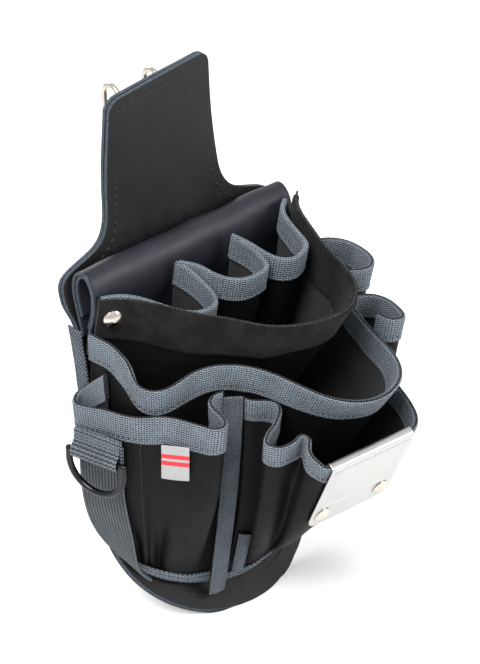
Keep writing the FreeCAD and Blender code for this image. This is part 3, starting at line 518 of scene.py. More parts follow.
def layered_edge(name, light, dark, layer):
    """Raw cut edge of leather: streaks along the cut, rough and paler than the face."""
    material, tree, shader = start_material(name, Roughness=0.85)
    place = add_node(tree, "TexCoord").outputs["Object"]
    clouds = add_node(tree, "TexNoise", {"Vector": place, "Scale": 1 / (layer * MM), "Detail": 5.0,
                                         "Roughness": 0.7})
    share = add_node(tree, "MapRange", {0: clouds.outputs[0], 1: 0.35, 2: 0.65})
    mix = add_node(tree, "Mix", {0: share.outputs[0], 6: colour4(dark), 7: colour4(light)},
                   data_type="RGBA")
    bump = add_node(tree, "Bump", {"Strength": 1.0, "Distance": 0.2 * MM, "Height": clouds.outputs[0]})
    tree.links.new(mix.outputs[2], shader.inputs["Base Color"])
    tree.links.new(bump.outputs[0], shader.inputs["Normal"])
    return material


MADE = {}


def finish_named(name):
    """The material of a finish, made the first time that it is asked for."""
    if name in MADE:
        return MADE[name]
    look = bpy.context.scene.pouch_colours
    grey, charcoal = tuple(look.webbing), tuple(look.cloth)
    black, edge = tuple(look.leather), tuple(look.edge)
    steel, nickel, red = tuple(look.plate), tuple(look.rivets), tuple(look.label_stripe)
    makers = {
        # Woven polyester webbing: blue-grey herringbone columns, matt with a slight sheen.
        # Real columns are 1.2 mm; drawn 1.5 mm so that they show.
        # the pale grey is painted highlight on the thread tops and the near black is painted shade in the
        # grooves
        "herringbone_webbing": lambda: woven("woven polyester binding tape", scaled(grey, 1.45),
                                             scaled(grey, 0.07), 1.5, 1.5, 0.7, 0.68, 0.5),
        # Heavier strap webbing: ribs across the strap, with painted shade between them.
        "strap_webbing": lambda: woven("woven polyester strap", scaled(grey, 0.5),
                                       scaled(grey, 0.04), 1.3, 1.9, 0.15, 0.72, 0.45),
        # Ribbed keeper tape: painted highlight on the ribs and painted shade between them.
        "keeper_webbing": lambda: woven("woven polyester ribbed tape", scaled(grey, 0.85),
                                        scaled(grey, 0.05), 1.6, 2.4, 0.5, 0.66, 0.6),
        # Twill tape of the vertical strips: slanting ribs with pale specks, painted highlight on the rib
        # tops and painted shade between them.
        "twill_tape": lambda: twill("woven polyester twill tape", scaled(grey, 0.62),
                                    scaled(grey, 0.08), 1.7, -0.75, 0.75, 0.35),
        # Coarse polyester twill, charcoal with the slant of the weave shown by painted shade in the
        # grooves and painted highlight on the ribs.
        "cloth": lambda: twill("polyester twill", scaled(charcoal, 0.95), scaled(charcoal, 0.12),
                               1.5, 0.8, 0.85, 0.3),
        # Rubbery backing on the inside of the cloth: near black with a soft gloss.
        "lining": lambda: hide("coated cloth backing", scaled(charcoal, 0.09),
                               scaled(charcoal, 0.04), 0.9, 0.65, 0.05, Specular_IOR_Level=0.15),
        # Pigmented smooth leather: fine cells, a broad soft highlight.
        "leather": lambda: hide("pigmented full grain leather", scaled(black, 0.6),
                                scaled(black, 0.25), 0.9, 0.5, 0.06, Specular_IOR_Level=0.25),
        # Coated leather of the belt tunnel: smoother and bluer than the panel.
        "tunnel_leather": lambda: hide("coated smooth leather", tuple(look.tunnel),
                                       scaled(tuple(look.tunnel), 0.6), 1.3, 0.45, 0.035,
                                       Specular_IOR_Level=0.3),
        # Suede split: mottled nap with no gloss.
        "suede": lambda: hide("suede split", tuple(look.suede), scaled(tuple(look.suede), 0.08),
                              1.5, 0.95, 0.7, smear=2.2, Sheen_Weight=0.04, Sheen_Roughness=0.6,
                              Specular_IOR_Level=0.1),
        "raw_edge": lambda: layered_edge("cut leather edge", scaled(edge, 1.2), scaled(edge, 0.25), 1.6),
        "thread": lambda: hide("bonded polyester thread", scaled(black, 0.7), scaled(black, 0.3),
                               0.5, 0.5, 0.05),
        "grey_thread": lambda: hide("grey polyester thread", scaled(grey, 0.9), scaled(grey, 0.4),
                                    0.5, 0.55, 0.05),
        "plate": lambda: metal("satin stainless steel", steel, scaled(steel, 0.86), 0.34,
                               (0.05, 1.0, 1.0), 0.006),
        "nickel": lambda: metal("nickel plated steel", nickel, scaled(nickel, 0.8), 0.2,
                                (0.4, 0.4, 0.4), 0.004),
        "gunmetal": lambda: metal("gunmetal plated wire", tuple(look.ring),
                                  scaled(tuple(look.ring), 0.6), 0.27, (0.4, 0.4, 0.4), 0.004),
        "label": lambda: striped_label("woven label", tuple(look.label), red),
    }
    MADE[name] = makers[name]()
    return MADE[name]


def scaled(colour, share):
    return tuple(channel * share for channel in colour)


# ------------------------------------------------------------------ shapes of the pouch
PLATE_PLACE = np.array([18.3, -148.9, 141.0])
PLATE_YAW, PLATE_LEAN = math.radians(-5.7), math.radians(22.5)
RING_BAR_STAND = 7.2
PANEL_SIDE = [(8.8, 334.0), (9.4, 310.0), (9.5, 285.0), (5.0, 245.0), (-0.5, 219.0), (-5.5, 196.0),
              (-10.5, 160.0), (-15.0, 100.0), (-24.5, 62.0), (-51.5, 20.0), (-75.0, 0.0)]
PANEL_CURVE = cubic(PANEL_SIDE, 600)
TAB_RISE = 4.6


def panel_depth(level):
    """Y of the panel's front face at a height."""
    return np.interp(level, PANEL_CURVE[::-1, 1], PANEL_CURVE[::-1, 0])


def panel_outline(count=190):
    """Half widths and heights of the panel from its top edge to its foot.

    A tab with rounded corners flares into shoulders, straight sides and a foot whose
    outline is a round that is fuller than an ellipse (power 2.3).
    """
    size = bpy.context.scene.pouch_sizes
    wide = size.panel_width / MM / 2
    shoulder = size.shoulder_width / MM / 2
    tab = size.tab_width / MM / 2
    corner = np.linspace(0, math.pi / 2, 9)
    top = np.stack([tab - 8 + 8 * np.sin(corner), 318 + 8 * np.cos(corner)], -1)
    foot = np.array([(tab + 4.5, 262), (tab + 6.5, 250), (tab + 12, 241), (tab + 22, 235.8),
                     (tab + 36, 231.3), (shoulder - 3.5, 228.6), (shoulder - 0.6, 225),
                     (shoulder, 220), (shoulder - 0.5, 213), (wide + 2.2, 206), (wide + 0.3, 200),
                     (wide, 190), (wide, 150), (wide, 110), (wide, 70)])
    angle = np.linspace(0, math.pi / 2, 40)[1:-1]
    round_foot = np.stack([wide * np.cos(angle) ** (2 / 2.3),
                           62 - 62 * np.sin(angle) ** (2 / 2.3)], -1)
    line = np.concatenate([top, foot, round_foot, [(1.0, 0.0)]])
    dense = cubic(line, count)
    return np.maximum(dense[:, 0], 0.8), np.clip(dense[:, 1], 0.0, 326.0)


def tilted(x, level):
    """Heights with the tab's top edge raised on the right and lowered on the left."""
    return level + TAB_RISE * np.clip(x / 37.5, -1, 1) * step_up(level, 286, 326)


def panel_sheet(stand, seed):
    """The panel as a sheet standing some way behind its front face, gently uneven."""
    half, level = panel_outline()
    across = 61
    share = np.linspace(-1, 1, across)
    curve = np.stack([panel_depth(level), level], -1)
    run = normalised(np.gradient(curve, axis=0))
    out = np.stack([-run[:, 1], run[:, 0]], -1)
    moved = curve + out * stand
    x = share[:, None] * half[None]
    y = np.broadcast_to(moved[:, 0], x.shape).copy()
    z = np.broadcast_to(moved[:, 1], x.shape).copy()
    loose = ripple(x, z, 55, seed) * (0.35 + 0.5 * step_up(60 - z, 0, 40))
    y += loose
    return np.stack([x, y, tilted(x, z)], -1)


def hem(half_width, centre, depth, start, end, stand, count=45):
    """Points along part of an ellipse drawn on the panel's front face."""
    angle = np.radians(np.linspace(start, end, count))
    level = centre + depth * np.sin(angle)
    return np.stack([half_width * np.cos(angle), panel_depth(level) - stand, level], -1)


def flat_row(points, level):
    return np.array([(x, y, level) for x, y in points], float)


def keep(piece, nodes):
    """Stand a finished piece in for its CAD nodes on the pouch's body."""
    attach(piece, "pouch")
    if nodes:
        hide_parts(*nodes)
    return piece


def down_of(sheet):
    return normalised(sheet[:, 2] - sheet[:, 0])


def outer_side(sheet, facing):
    """Make a sheet's facing point the given way by turning it round if needed."""
    return sheet if (facing_of(sheet) * facing).sum() > 0 else sheet[::-1]


def wall_piece(name, sheet, node, thickness=1.3, kinds=("cloth", "lining", "cloth")):
    """A cloth wall: cut as a flat sheet as wide as its rim and as long as its columns."""
    points, faces, uv, kind = slab(sheet, thickness, 0.0, 0.15)
    piece = put_mesh(name, points, outward(points, faces), [finish_named(k) for k in kinds], uv, kind)
    keep(piece, [node])
    return piece


def rim_run(sheet, total, skip):
    """Even points along the rim of a sheet and the way down the cloth from each."""
    at = np.linspace(0, len(sheet) - 1, total)
    low = np.clip(at.astype(int), 0, len(sheet) - 2)
    share = (at - low)[:, None]
    way = down_of(sheet)
    down = normalised(way[low] * (1 - share) + way[low + 1] * share)
    return cubic(sheet[:, 0][::skip], total), down


def rim_tape(name, sheet, node, width, half, skin, seed, look="herringbone_webbing",
             count_step=1.4):
    """Binding tape folded over the rim of a sheet and sewn through near its edge."""
    total = int(length_of(sheet[:, 0]) / count_step)
    top, down = rim_run(sheet, total, 2)
    rings, faces, uv, kind = tape_fold(top, down, width, half, skin, seed)
    seam = row_of_stitches(top, down, width - 3.0, half + 0.02)
    piece = put_mesh(name, *compose([(rings, faces, uv, kind), seam],
                                    [finish_named(look), finish_named("thread")]))
    return keep(piece, [node] if node else [])


def row_of_stitches(top, down, drop, reach, pitch=3.4, long=2.3, thick=0.55):
    """Stitches on the outer leg of a folded tape, a fixed drop below its top."""
    run = normalised(np.gradient(top, axis=0))
    out = normalised(np.cross(down, run))
    level = np.stack([run[:, 1], -run[:, 0], np.zeros(len(run))], -1)
    out = np.where((out * level).sum(-1, keepdims=True) < 0, -out, out)
    return stitches(top + down * drop + out * (reach - 0.3), out, pitch, long, thick)


def compose(parts, materials):
    """Join mesh parts, giving each part after the first the next material."""
    parts = [(p, f, u, k + n if n else k) for n, (p, f, u, k) in enumerate(parts)]
    points, faces, uv, kinds = join(parts)
    return points, faces, materials, uv, kinds


# -------------------------------------------------------------------------- settings
def colour_setting(name, text, about):
    return bpy.props.FloatVectorProperty(name=name, description=about, default=srgb(text),
                                         subtype="COLOR", size=3, min=0.0, max=1.0)


def length_setting(name, millimetres, about):
    return bpy.props.FloatProperty(name=name, description=about, default=millimetres * MM,
                                   subtype="DISTANCE", unit="LENGTH", min=0.0001)


class PouchSizes(bpy.types.PropertyGroup):
    panel_width: length_setting("Panel width", 154.0, "Width of the leather back panel")
    shoulder_width: length_setting("Shoulder width", 164.0, "Width of the panel at its shoulders")
    tab_width: length_setting("Tab width", 75.0, "Width of the belt tab at its top")
    leather: length_setting("Leather", 2.4, "Thickness of each leather layer")
    cloth: length_setting("Cloth", 1.3, "Thickness of the coated twill")
    wide_tape: length_setting("Wide tape", 17.5, "Drop of the wide binding on each side of a rim")
    narrow_tape: length_setting("Narrow tape", 16.0, "Drop of the narrow binding of the sleeves")
    suede_drop: length_setting("Suede drop", 28.0, "Drop of the suede over the inner pocket's rim")
    leather_stitch: length_setting("Leather stitch", 5.2, "Spacing of the stitches in the leather")
    strap_width: length_setting("Strap width", 30.0, "Width of the side strap")


class PouchColours(bpy.types.PropertyGroup):
    webbing: colour_setting("Webbing", "#7d8892", "Blue-grey of the binding tape and straps")
    cloth: colour_setting("Cloth", "#38383a", "Charcoal of the twill walls")
    leather: colour_setting("Leather", "#202022", "Black of the smooth leather")
    tunnel: colour_setting("Tunnel", "#23252c", "Blue-black of the coated tunnel leather")
    edge: colour_setting("Leather edge", "#3c4650", "Blue-grey of the raw leather edges")
    suede: colour_setting("Suede", "#201f1f", "Lighter tone of the suede nap")
    plate: colour_setting("Plate", "#c4c4c2", "Satin steel of the tape clip plate")
    rivets: colour_setting("Rivets", "#cfc9bf", "Nickel of the rivets and the wire clip")
    ring: colour_setting("Ring", "#3a3b3e", "Gunmetal of the D-ring")
    label: colour_setting("Label", "#a2a2a3", "Ground colour of the side label")
    label_stripe: colour_setting("Label stripe", "#d4202c", "Stripe colour of the side label")


# ------------------------------------------------------------------------- operators
class POUCH_OT_leather_back(bpy.types.Operator):
    """Make the two leather layers of the back panel with their stitched edge"""
    bl_idname = "pouch.leather_back"
    bl_label = "Leather Back"

    def execute(self, context):
        thick = context.scene.pouch_sizes.leather / MM
        for name, node, stand, seed in (("panel_front", "back_panel_front", thick / 2, 3),
                                        ("panel_rear", "back_panel_rear", thick * 1.5 + 0.5, 8)):
            sheet = panel_sheet(stand, seed)
            sheet = outer_side(sheet, np.array([0.0, -1.0, 0.0]))
            points, faces, uv, kind = slab(sheet, thick, 0.0, 0.45)
            points[:, 2] = np.maximum(points[:, 2], 0.0)
            piece = put_mesh(name, points, outward(points, faces),
                             [finish_named(k) for k in ("leather", "leather", "raw_edge")], uv, kind)
            keep(piece, [node])
        self.sew(context, thick)
        return {"FINISHED"}

    def sew(self, context, thick):
        """Two rows of stitches: one on the front face and one on the rear."""
        pitch = context.scene.pouch_sizes.leather_stitch / MM
        half, level = panel_outline(420)
        edge = np.stack([half, level], -1)
        run = normalised(np.gradient(edge, axis=0))
        edge = edge + np.stack([run[:, 1], -run[:, 0]], -1) * 6.5
        whole = np.stack([half, level], -1)
        gap = np.linalg.norm(edge[:, None] - whole[None], axis=-1).min(1)
        edge = edge[(gap > 6.2) & (edge[:, 0] > 1.0) & (edge[:, 1] < 320.0)]
        half, level = edge[:, 0], edge[:, 1]
        parts = []
        for side in (-1, 1):
            for stand, way in ((-0.05, -1.0), (2 * thick + 0.55, 1.0)):
                y = panel_depth(level) + stand
                path = np.stack([side * half, y, tilted(side * half, level)], -1)
                clear = np.concatenate([[True], np.linalg.norm(np.diff(path, axis=0), axis=-1) > 0.3])
                path = cubic(path[clear][::2], 500)
                facing = np.broadcast_to([0.0, way, 0.0], path.shape)
                parts.append(stitches(path, facing, pitch, 3.1, 0.95))
        for stand, way in ((-0.05, -1.0), (2 * thick + 0.55, 1.0)):
            x = np.linspace(-29, 29, 60)
            path = np.stack([x, panel_depth(319.0) + stand + 0 * x, tilted(x, 319.5 + 0 * x)], -1)
            parts.append(stitches(path, np.broadcast_to([0.0, way, 0.0], path.shape), pitch, 3.1, 0.95))
        points, faces, uv, kinds = join(parts)
        keep(put_mesh("panel_stitches", points, faces, [finish_named("thread")], uv), [])


class POUCH_OT_belt_tunnel(bpy.types.Operator):
    """Make the rolled belt tunnel and its inner layer"""
    bl_idname = "pouch.belt_tunnel"
    bl_label = "Belt Tunnel"

    SIDE = [(-9.0, 195.0), (-4.6, 210.0), (-1.8, 222.0), (-3.8, 232.5), (-10.0, 237.0),
            (-16.4, 233.0), (-19.5, 224.0), (-18.3, 210.0), (-14.5, 198.0), (-12.4, 183.0)]

    def roll(self, reach, inset, start, end, seed):
        """The side view moved in by the inset and carried along X with a slow unevenness."""
        line = cubic(self.SIDE, 90)
        run = normalised(np.gradient(line, axis=0))
        line = line + np.stack([run[:, 1], -run[:, 0]], -1) * -inset
        line = cubic(line[int(start * 89):int(end * 89) + 1:4], 64)
        x = np.linspace(-reach, reach, 71)
        grid = np.zeros((71, 64, 3))
        grid[..., 0] = x[:, None]
        grid[..., 1:] = line[None]
        wave = ripple(grid[..., 0], grid[..., 2], 60, seed) * 0.5
        grid[..., 2] += wave * step_up(line[:, 1], 205, 232)[None]
        grid[..., 1] += wave * 0.5
        return grid

    def execute(self, context):
        parts = []
        for reach, inset, start, end, thick, seed in ((77.0, 0.0, 0.0, 1.0, 2.0, 4),
                                                      (76.2, 2.15, 0.12, 0.86, 1.9, 4)):
            sheet = self.roll(reach, inset, start, end, seed)
            points, faces, uv, kind = slab(sheet, thick, 0.0, 0.3)
            parts.append((points, outward(points, faces), uv, kind))
        points, faces, uv, kinds = join(parts)
        looks = [finish_named(k) for k in ("tunnel_leather", "tunnel_leather", "raw_edge")]
        piece = put_mesh("belt_tunnel_roll", points, faces, looks, uv, kinds)
        keep(piece, ["belt_tunnel"])
        return {"FINISHED"}


class POUCH_OT_inner_pocket(bpy.types.Operator):
    """Make the inner pocket's cloth wall and the suede folded over its rim"""
    bl_idname = "pouch.inner_pocket"
    bl_label = "Inner Pocket"

    RIM = [
        (-77, -25, 226), (-66, -29, 224), (-52, -40.3, 221), (-36, -59, 216), (-21, -73, 212),
        (-7, -87, 208), (13, -102, 208), (38, -108.5, 212), (53, -97, 216.5), (58.5, -70, 224),
        (63, -48, 231), (70, -31, 236), (77, -25, 237.5)]
    MIDDLE = [(-76, -13.5), (-66, -20), (-53, -33), (-37, -49), (-21, -60), (-5, -70), (13, -79),
              (34, -82), (47, -74), (54, -57), (60, -42), (68, -24), (76, -13.5)]

    def execute(self, context):
        rows = [self.RIM, flat_row(self.MIDDLE, 165), hem(72, 98, 30, 180, 360, 2.2)]
        sheet = loft(rows, 150, 46)
        suede = self.suede(context, sheet)
        wall_piece("inner_pocket_cloth", sheet, "inner_pocket_wall")
        return {"FINISHED"}

    def suede(self, context, sheet):
        """Suede folded over the rim, its lower edge roughly cut and its nap raised."""
        drop = context.scene.pouch_sizes.suede_drop / MM
        top, down = rim_run(sheet, 330, 3)
        rings, faces, uv, kind = tape_fold(top, down, drop, 1.9, 1.1, 21, stitch_row=4.5, uneven=0.5)
        nap = np.random.default_rng(5).normal(0, 0.13, rings.shape)
        piece = put_mesh("suede_rim_fold", rings + nap, faces, [finish_named("suede")], uv)
        return keep(piece, ["suede_rim"])


class POUCH_OT_tool_sleeves(bpy.types.Operator):
    """Make the three tool sleeves and the one wavy binding over their rims"""
    bl_idname = "pouch.tool_sleeves"
    bl_label = "Tool Sleeves"

    SLEEVES = {
        "tool_sleeve_left": [
            (-74, -22.8, 226), (-64.5, -26, 225), (-54, -34, 222.5), (-46, -42.5, 218.5),
            (-39, -49, 215.2), (-31, -54.5, 213), (-23, -56, 212.5), (-16.5, -55, 213.5),
            (-14.8, -52, 216), (-15, -44, 220.5), (-16.6, -34.5, 225), (-18.5, -27.5, 227.5),
            (-19.8, -23.9, 228.5)],
        "tool_sleeve_middle": [
            (-18.9, -26.5, 229), (-12.3, -35.3, 227.5), (-8.7, -45.9, 225), (-4.6, -53, 223.5),
            (3.1, -59.1, 223), (11.5, -60.2, 223), (20.5, -58, 224), (22.6, -52.8, 225.5),
            (23.3, -40.6, 228), (21.8, -27.5, 230)],
        "tool_sleeve_right": [
            (21.8, -27.4, 231), (24.8, -38.9, 229), (26.3, -51.9, 227), (29.3, -60.2, 226),
            (35, -64.3, 225.5), (44.2, -63.3, 226), (50.1, -60.2, 227), (53, -53, 228.5),
            (55.6, -41.5, 231), (60.5, -29.7, 234), (68.5, -23.9, 236)],
    }

    def execute(self, context):
        drop = context.scene.pouch_sizes.narrow_tape / MM
        tapes = []
        for seed, (node, outline) in enumerate(self.SLEEVES.items()):
            foot = [(x * 0.97, float(panel_depth(128)) + (y + 21) * 0.62, 128.0)
                    for x, y, z in outline]
            sheet = loft([outline, foot], 90, 40)
            wall_piece(node + "_cloth", sheet[:, 1:], node, 1.2)
            total = int(length_of(sheet[:, 0]) / 1.2)
            top = cubic(sheet[:, 0][::2], total)
            down = np.broadcast_to(normalised(sheet[:, 3] - sheet[:, 0]).mean(0), top.shape)
            tapes.append(tape_fold(top, down, drop, 1.6, 0.75, 31 + seed))
            tapes.append(row_of_stitches(top, down, drop - 3, 1.62))
        marks = []
        for part, extra in zip(tapes, [0, 1] * 3):
            marks.append(part[:3] + (part[3] + extra,))
        points, faces, uv, kinds = join(marks)
        piece = put_mesh("sleeve_rim_tape", points, faces,
                         [finish_named("herringbone_webbing"), finish_named("thread")], uv, kinds)
        keep(piece, ["sleeve_binding"])
        return {"FINISHED"}


class POUCH_OT_main_pocket(bpy.types.Operator):
    """Make the main pocket's wall and the wide tape over its rim"""
    bl_idname = "pouch.main_pocket"
    bl_label = "Main Pocket"

    RIM = [
        (-80.5, -20, 203.5), (-80, -28, 203.5), (-78.5, -36, 202.5), (-77.2, -41, 199.5),
        (-76.6, -47, 195.5), (-77, -52, 189.5), (-75.5, -54.5, 183.5), (-71, -58, 179.5),
        (-65, -61, 178), (-58, -63.5, 179), (-50, -64.5, 181), (-41, -66, 183), (-32, -70, 184),
        (-24, -76, 184), (-11, -86, 180), (0, -104, 174), (8, -122, 170), (22, -137, 168),
        (41, -140, 168), (58, -131, 170), (66, -115, 173), (68, -99, 177), (71, -82, 182),
        (76.5, -60, 189), (80, -38, 196), (81, -24, 201), (81, -12, 203)]
    MIDDLE = [
        (-77.5, -16.8), (-77, -30), (-74, -41), (-68, -50), (-52, -57), (-37, -61), (-24, -67.5),
        (-10, -78), (6, -95), (22, -105), (40, -106), (54, -100), (62, -87), (67, -71), (72, -55),
        (76, -36), (77.5, -16.8)]

    def execute(self, context):
        drop = context.scene.pouch_sizes.wide_tape / MM
        rows = [self.RIM, flat_row(self.MIDDLE, 110), hem(75, 63, 47, 180, 360, 1.6)]
        sheet = loft(rows, 190, 50)
        tape = rim_tape("main_rim_tape", sheet, "main_rim_binding", drop, 1.8, 0.95, 41)
        wall_piece("main_pocket_cloth", sheet, "main_pocket_wall")
        return {"FINISHED"}


class POUCH_OT_right_sleeves(bpy.types.Operator):
    """Make the two bound sleeves on the right side"""
    bl_idname = "pouch.right_sleeves"
    bl_label = "Right Sleeves"

    SLEEVES = {
        "right_sleeve_front": (187.0, [(72.5, -98.5), (75, -109), (80, -110.5), (86, -102), (88, -90),
                                       (84.5, -80.5), (76, -75)]),
        "right_sleeve_rear": (200.0, [(79, -66.5), (90, -72.5), (98.5, -68), (103.5, -55), (102.5, -40),
                                      (94, -30), (85, -28)]),
    }

    def execute(self, context):
        drop = context.scene.pouch_sizes.narrow_tape / MM
        for seed, (node, (top, outline)) in enumerate(self.SLEEVES.items()):
            middle = np.mean(outline, 0)
            foot = [(min(x, 84 + (x - 84) * 0.35) - 3.5, middle[1] + 9 + (y - middle[1]) * 0.85)
                    for x, y in outline]
            sheet = loft([flat_row(outline, top), flat_row(foot, 100)], 70, 36)
            tape = rim_tape(node + "_tape", sheet, node + "_binding", drop, 1.7, 0.85, 51 + seed)
            wall_piece(node + "_cloth", sheet, node, 1.3)
        return {"FINISHED"}


class POUCH_OT_left_pocket(bpy.types.Operator):
    """Make the left pocket: two compartments either side of a sewn seam"""
    bl_idname = "pouch.left_pocket"
    bl_label = "Left Pocket"

    RIM = [
        (-83, -35, 184.5), (-84.3, -28.5, 178.5), (-87, -21.5, 171.5), (-91.3, -18.2, 166),
        (-94, -21, 163.5), (-92.3, -26.5, 163), (-89.2, -32.5, 163), (-86.6, -38.5, 163.5),
        (-84.2, -45, 163.5), (-81.5, -51.5, 163.5), (-77.5, -57.4, 163.5), (-72.3, -61.6, 163.5),
        (-67.9, -65.2, 163.5), (-63.8, -69.5, 163), (-60.6, -74.5, 162.5), (-57.7, -80.4, 162),
        (-54.8, -86.5, 161.5), (-51.6, -91.5, 161), (-47.4, -94.2, 161.5), (-43.2, -91.5, 162),
        (-41.6, -86, 163), (-41.6, -80.5, 164.5), (-40, -76, 166.5), (-36, -74.8, 168.5),
        (-31, -77.4, 169.5)]
    MIDDLE = [
        (-80.8, -36), (-83.9, -30), (-84.9, -24), (-86.5, -19), (-89.4, -20.5), (-89.2, -24.5),
        (-87.8, -29.5), (-85.7, -35.5), (-82.5, -43.5), (-78.5, -51.5), (-73.5, -57.5),
        (-68, -63.3), (-63, -71), (-57, -79), (-51, -85), (-46, -86.2), (-42, -82.5), (-40, -77.5),
        (-37.2, -74), (-33.5, -73.4), (-29.5, -74.3)]

    def execute(self, context):
        drop = context.scene.pouch_sizes.wide_tape / MM
        rows = [self.RIM, flat_row(self.MIDDLE, 105), hem(78.7, 66.6, 52, 181, 249, 4.4)]
        sheet = loft(rows, 190, 56)
        plain = sheet
        uv = lengths_of(sheet)
        u, v = uv[..., 0] / uv[-1, 0, 0], uv[..., 1] / uv[0, -1, 1]
        low = step_up(v, 0.45, 0.92) * step_up(1 - v, 0.0, 0.10)
        seam = 0.475
        push = (-1.6 * hill(u - seam, 0.020) * step_up(v, 0.1, 0.3)
                - 5.5 * hill(u - seam - 0.085, 0.045) * low
                - 4.0 * hill(u - seam + 0.075, 0.035) * low * step_up(v, 0.6, 0.85)
                + 3.2 * hill(u - seam - 0.2, 0.09) * step_up(v, 0.15, 0.5) * step_up(1 - v, 0, 0.25)
                + 2.2 * hill(u - seam + 0.18, 0.10) * step_up(v, 0.2, 0.5) * step_up(1 - v, 0, 0.25))
        facing = facing_of(sheet)
        if facing[95, 20, 0] > 0:
            facing = -facing
        sheet = sheet + facing * push[..., None]
        tape = rim_tape("left_pocket_tape", sheet, "left_pocket_binding", drop, 1.8, 0.95, 61)
        wall_piece("left_pocket_cloth", sheet, "left_pocket_wall")
        at = int(seam * 189)
        path = cubic(sheet[at, 2:][::3], 200)
        way = facing[at, 2:][::3]
        way = normalised(cubic(way, 200))
        seam_part = stitches(path + way * 0.75, way, 2.6, 1.9, 0.75)
        piece = put_mesh("left_pocket_seam", seam_part[0], seam_part[1], [finish_named("thread")],
                         seam_part[2])
        keep(piece, [])
        hem_tape("left_hem_tape", plain, "left_hem_binding", 9.5, facing)
        return {"FINISHED"}


def hem_tape(name, sheet, node, width, facing):
    """Flat tape along the foot of a wall on its outer side, bulging a little, sewn twice."""
    columns = lengths_of(sheet)[0, :, 1]
    first = int(np.searchsorted(columns, columns[-1] - width))
    strip = sheet[:, first:]
    way = facing[:, first:]
    strip = np.stack([cubic(strip[:, ::1].transpose(1, 0, 2), 9)[k] for k in range(9)], 1)
    way = normalised(np.stack([cubic(way.transpose(1, 0, 2), 9)[k] for k in range(9)], 1))
    share = np.linspace(0, 1, 9)[None, :, None]
    strip = strip + way * (1.6 + 0.5 * np.sin(share * math.pi))
    strip[:, -1] -= way[:, -1] * 0.8
    points, faces, uv, kind = slab(strip, 1.3, 0.0, 0.2)
    parts = [(points, outward(points, faces), uv, kind * 0)]
    for k in (2, 6):
        parts.append(stitches(strip[:, k] + way[:, k] * 0.7, way[:, k], 3.4, 2.3, 0.55))
    piece = put_mesh(name, *compose([parts[0], join(parts[1:])],
                                    [finish_named("herringbone_webbing"), finish_named("thread")]))
    return keep(piece, [node])


class POUCH_OT_front_pocket(bpy.types.Operator):
    """Make the front pocket: a narrow sleeve, a pleat and the pocket behind the plate"""
    bl_idname = "pouch.front_pocket"
    bl_label = "Front Pocket"

    RIM = [
        (-20.5, -83.4, 163.3), (-17.8, -86.3, 162), (-14, -88.6, 161.2), (-9.4, -92, 160.4),
        (-7, -95.5, 159.6), (-8.3, -99.4, 158), (-12.7, -102.6, 156), (-17.2, -104.9, 154.5),
        (-22, -106, 153), (-27, -108.5, 152), (-30, -111.6, 151), (-29, -115.5, 150.5),
        (-25.8, -118.7, 150), (-20, -120.1, 150), (-13.8, -119.4, 150), (-8.3, -118.4, 150),
        (-7, -121, 149.5), (-10.6, -126, 149), (-14.3, -130, 148), (-16.4, -135, 147),
        (-15.9, -140, 145), (-14.2, -143, 143), (-9.5, -144.4, 141.8), (6, -145.3, 140.8),
        (20, -146, 140), (46, -148.5, 139), (57, -146, 141.5), (63.5, -136, 145.5),
        (67.2, -122, 149.5), (69, -112, 151),
        (68.4, -106, 151.3)]
    MIDDLE = [
        (-18, -77), (-15, -79.6), (-11.5, -82.4), (-8.5, -86), (-9.5, -90.5), (-13.5, -92.5),
        (-18, -93.5), (-22.5, -95.5), (-24.5, -99.5), (-22, -103.5), (-17, -105), (-12, -104.5),
        (-8.5, -105.5), (-9.5, -110), (-12.5, -113.5), (-13.5, -117.5), (-9.5, -120.5),
        (-3, -121.5), (20, -123.5), (45, -126), (54, -122.5), (59.5, -113), (63.5, -101),
        (66.5, -90),
        (66.4, -84)]

    def execute(self, context):
        drop = context.scene.pouch_sizes.narrow_tape / MM
        rows = [self.RIM, flat_row(self.MIDDLE, 86), hem(77, 66, 52, 257, 334, 4.4)]
        sheet = loft(rows, 210, 50)
        x, z = sheet[..., 0] - PLATE_PLACE[0], sheet[..., 2]
        plate = PLATE_PLACE[1] - 0.1 * x + 0.414 * (PLATE_PLACE[2] - z) + 2.4
        held = step_up(36.0 - np.abs(x), 0, 5) * step_up(z, 78, 88)
        behind = np.maximum(sheet[..., 1], plate)
        sheet[..., 1] = np.where(sheet[..., 1] < -108 - (141 - z) * 0.2,
                                 sheet[..., 1] * (1 - held) + behind * held, sheet[..., 1])
        facing = facing_of(sheet)
        if facing[150, 10, 1] > 0:
            facing = -facing
        tape = rim_tape("front_pocket_tape", sheet, "front_pocket_binding", drop - 1.5, 1.6, 0.75, 81,
                        count_step=1.1)
        wall_piece("front_pocket_cloth", sheet, "front_pocket_wall")
        hem_tape("front_hem_tape", sheet, "front_hem_binding", 9.5, facing)
        return {"FINISHED"}


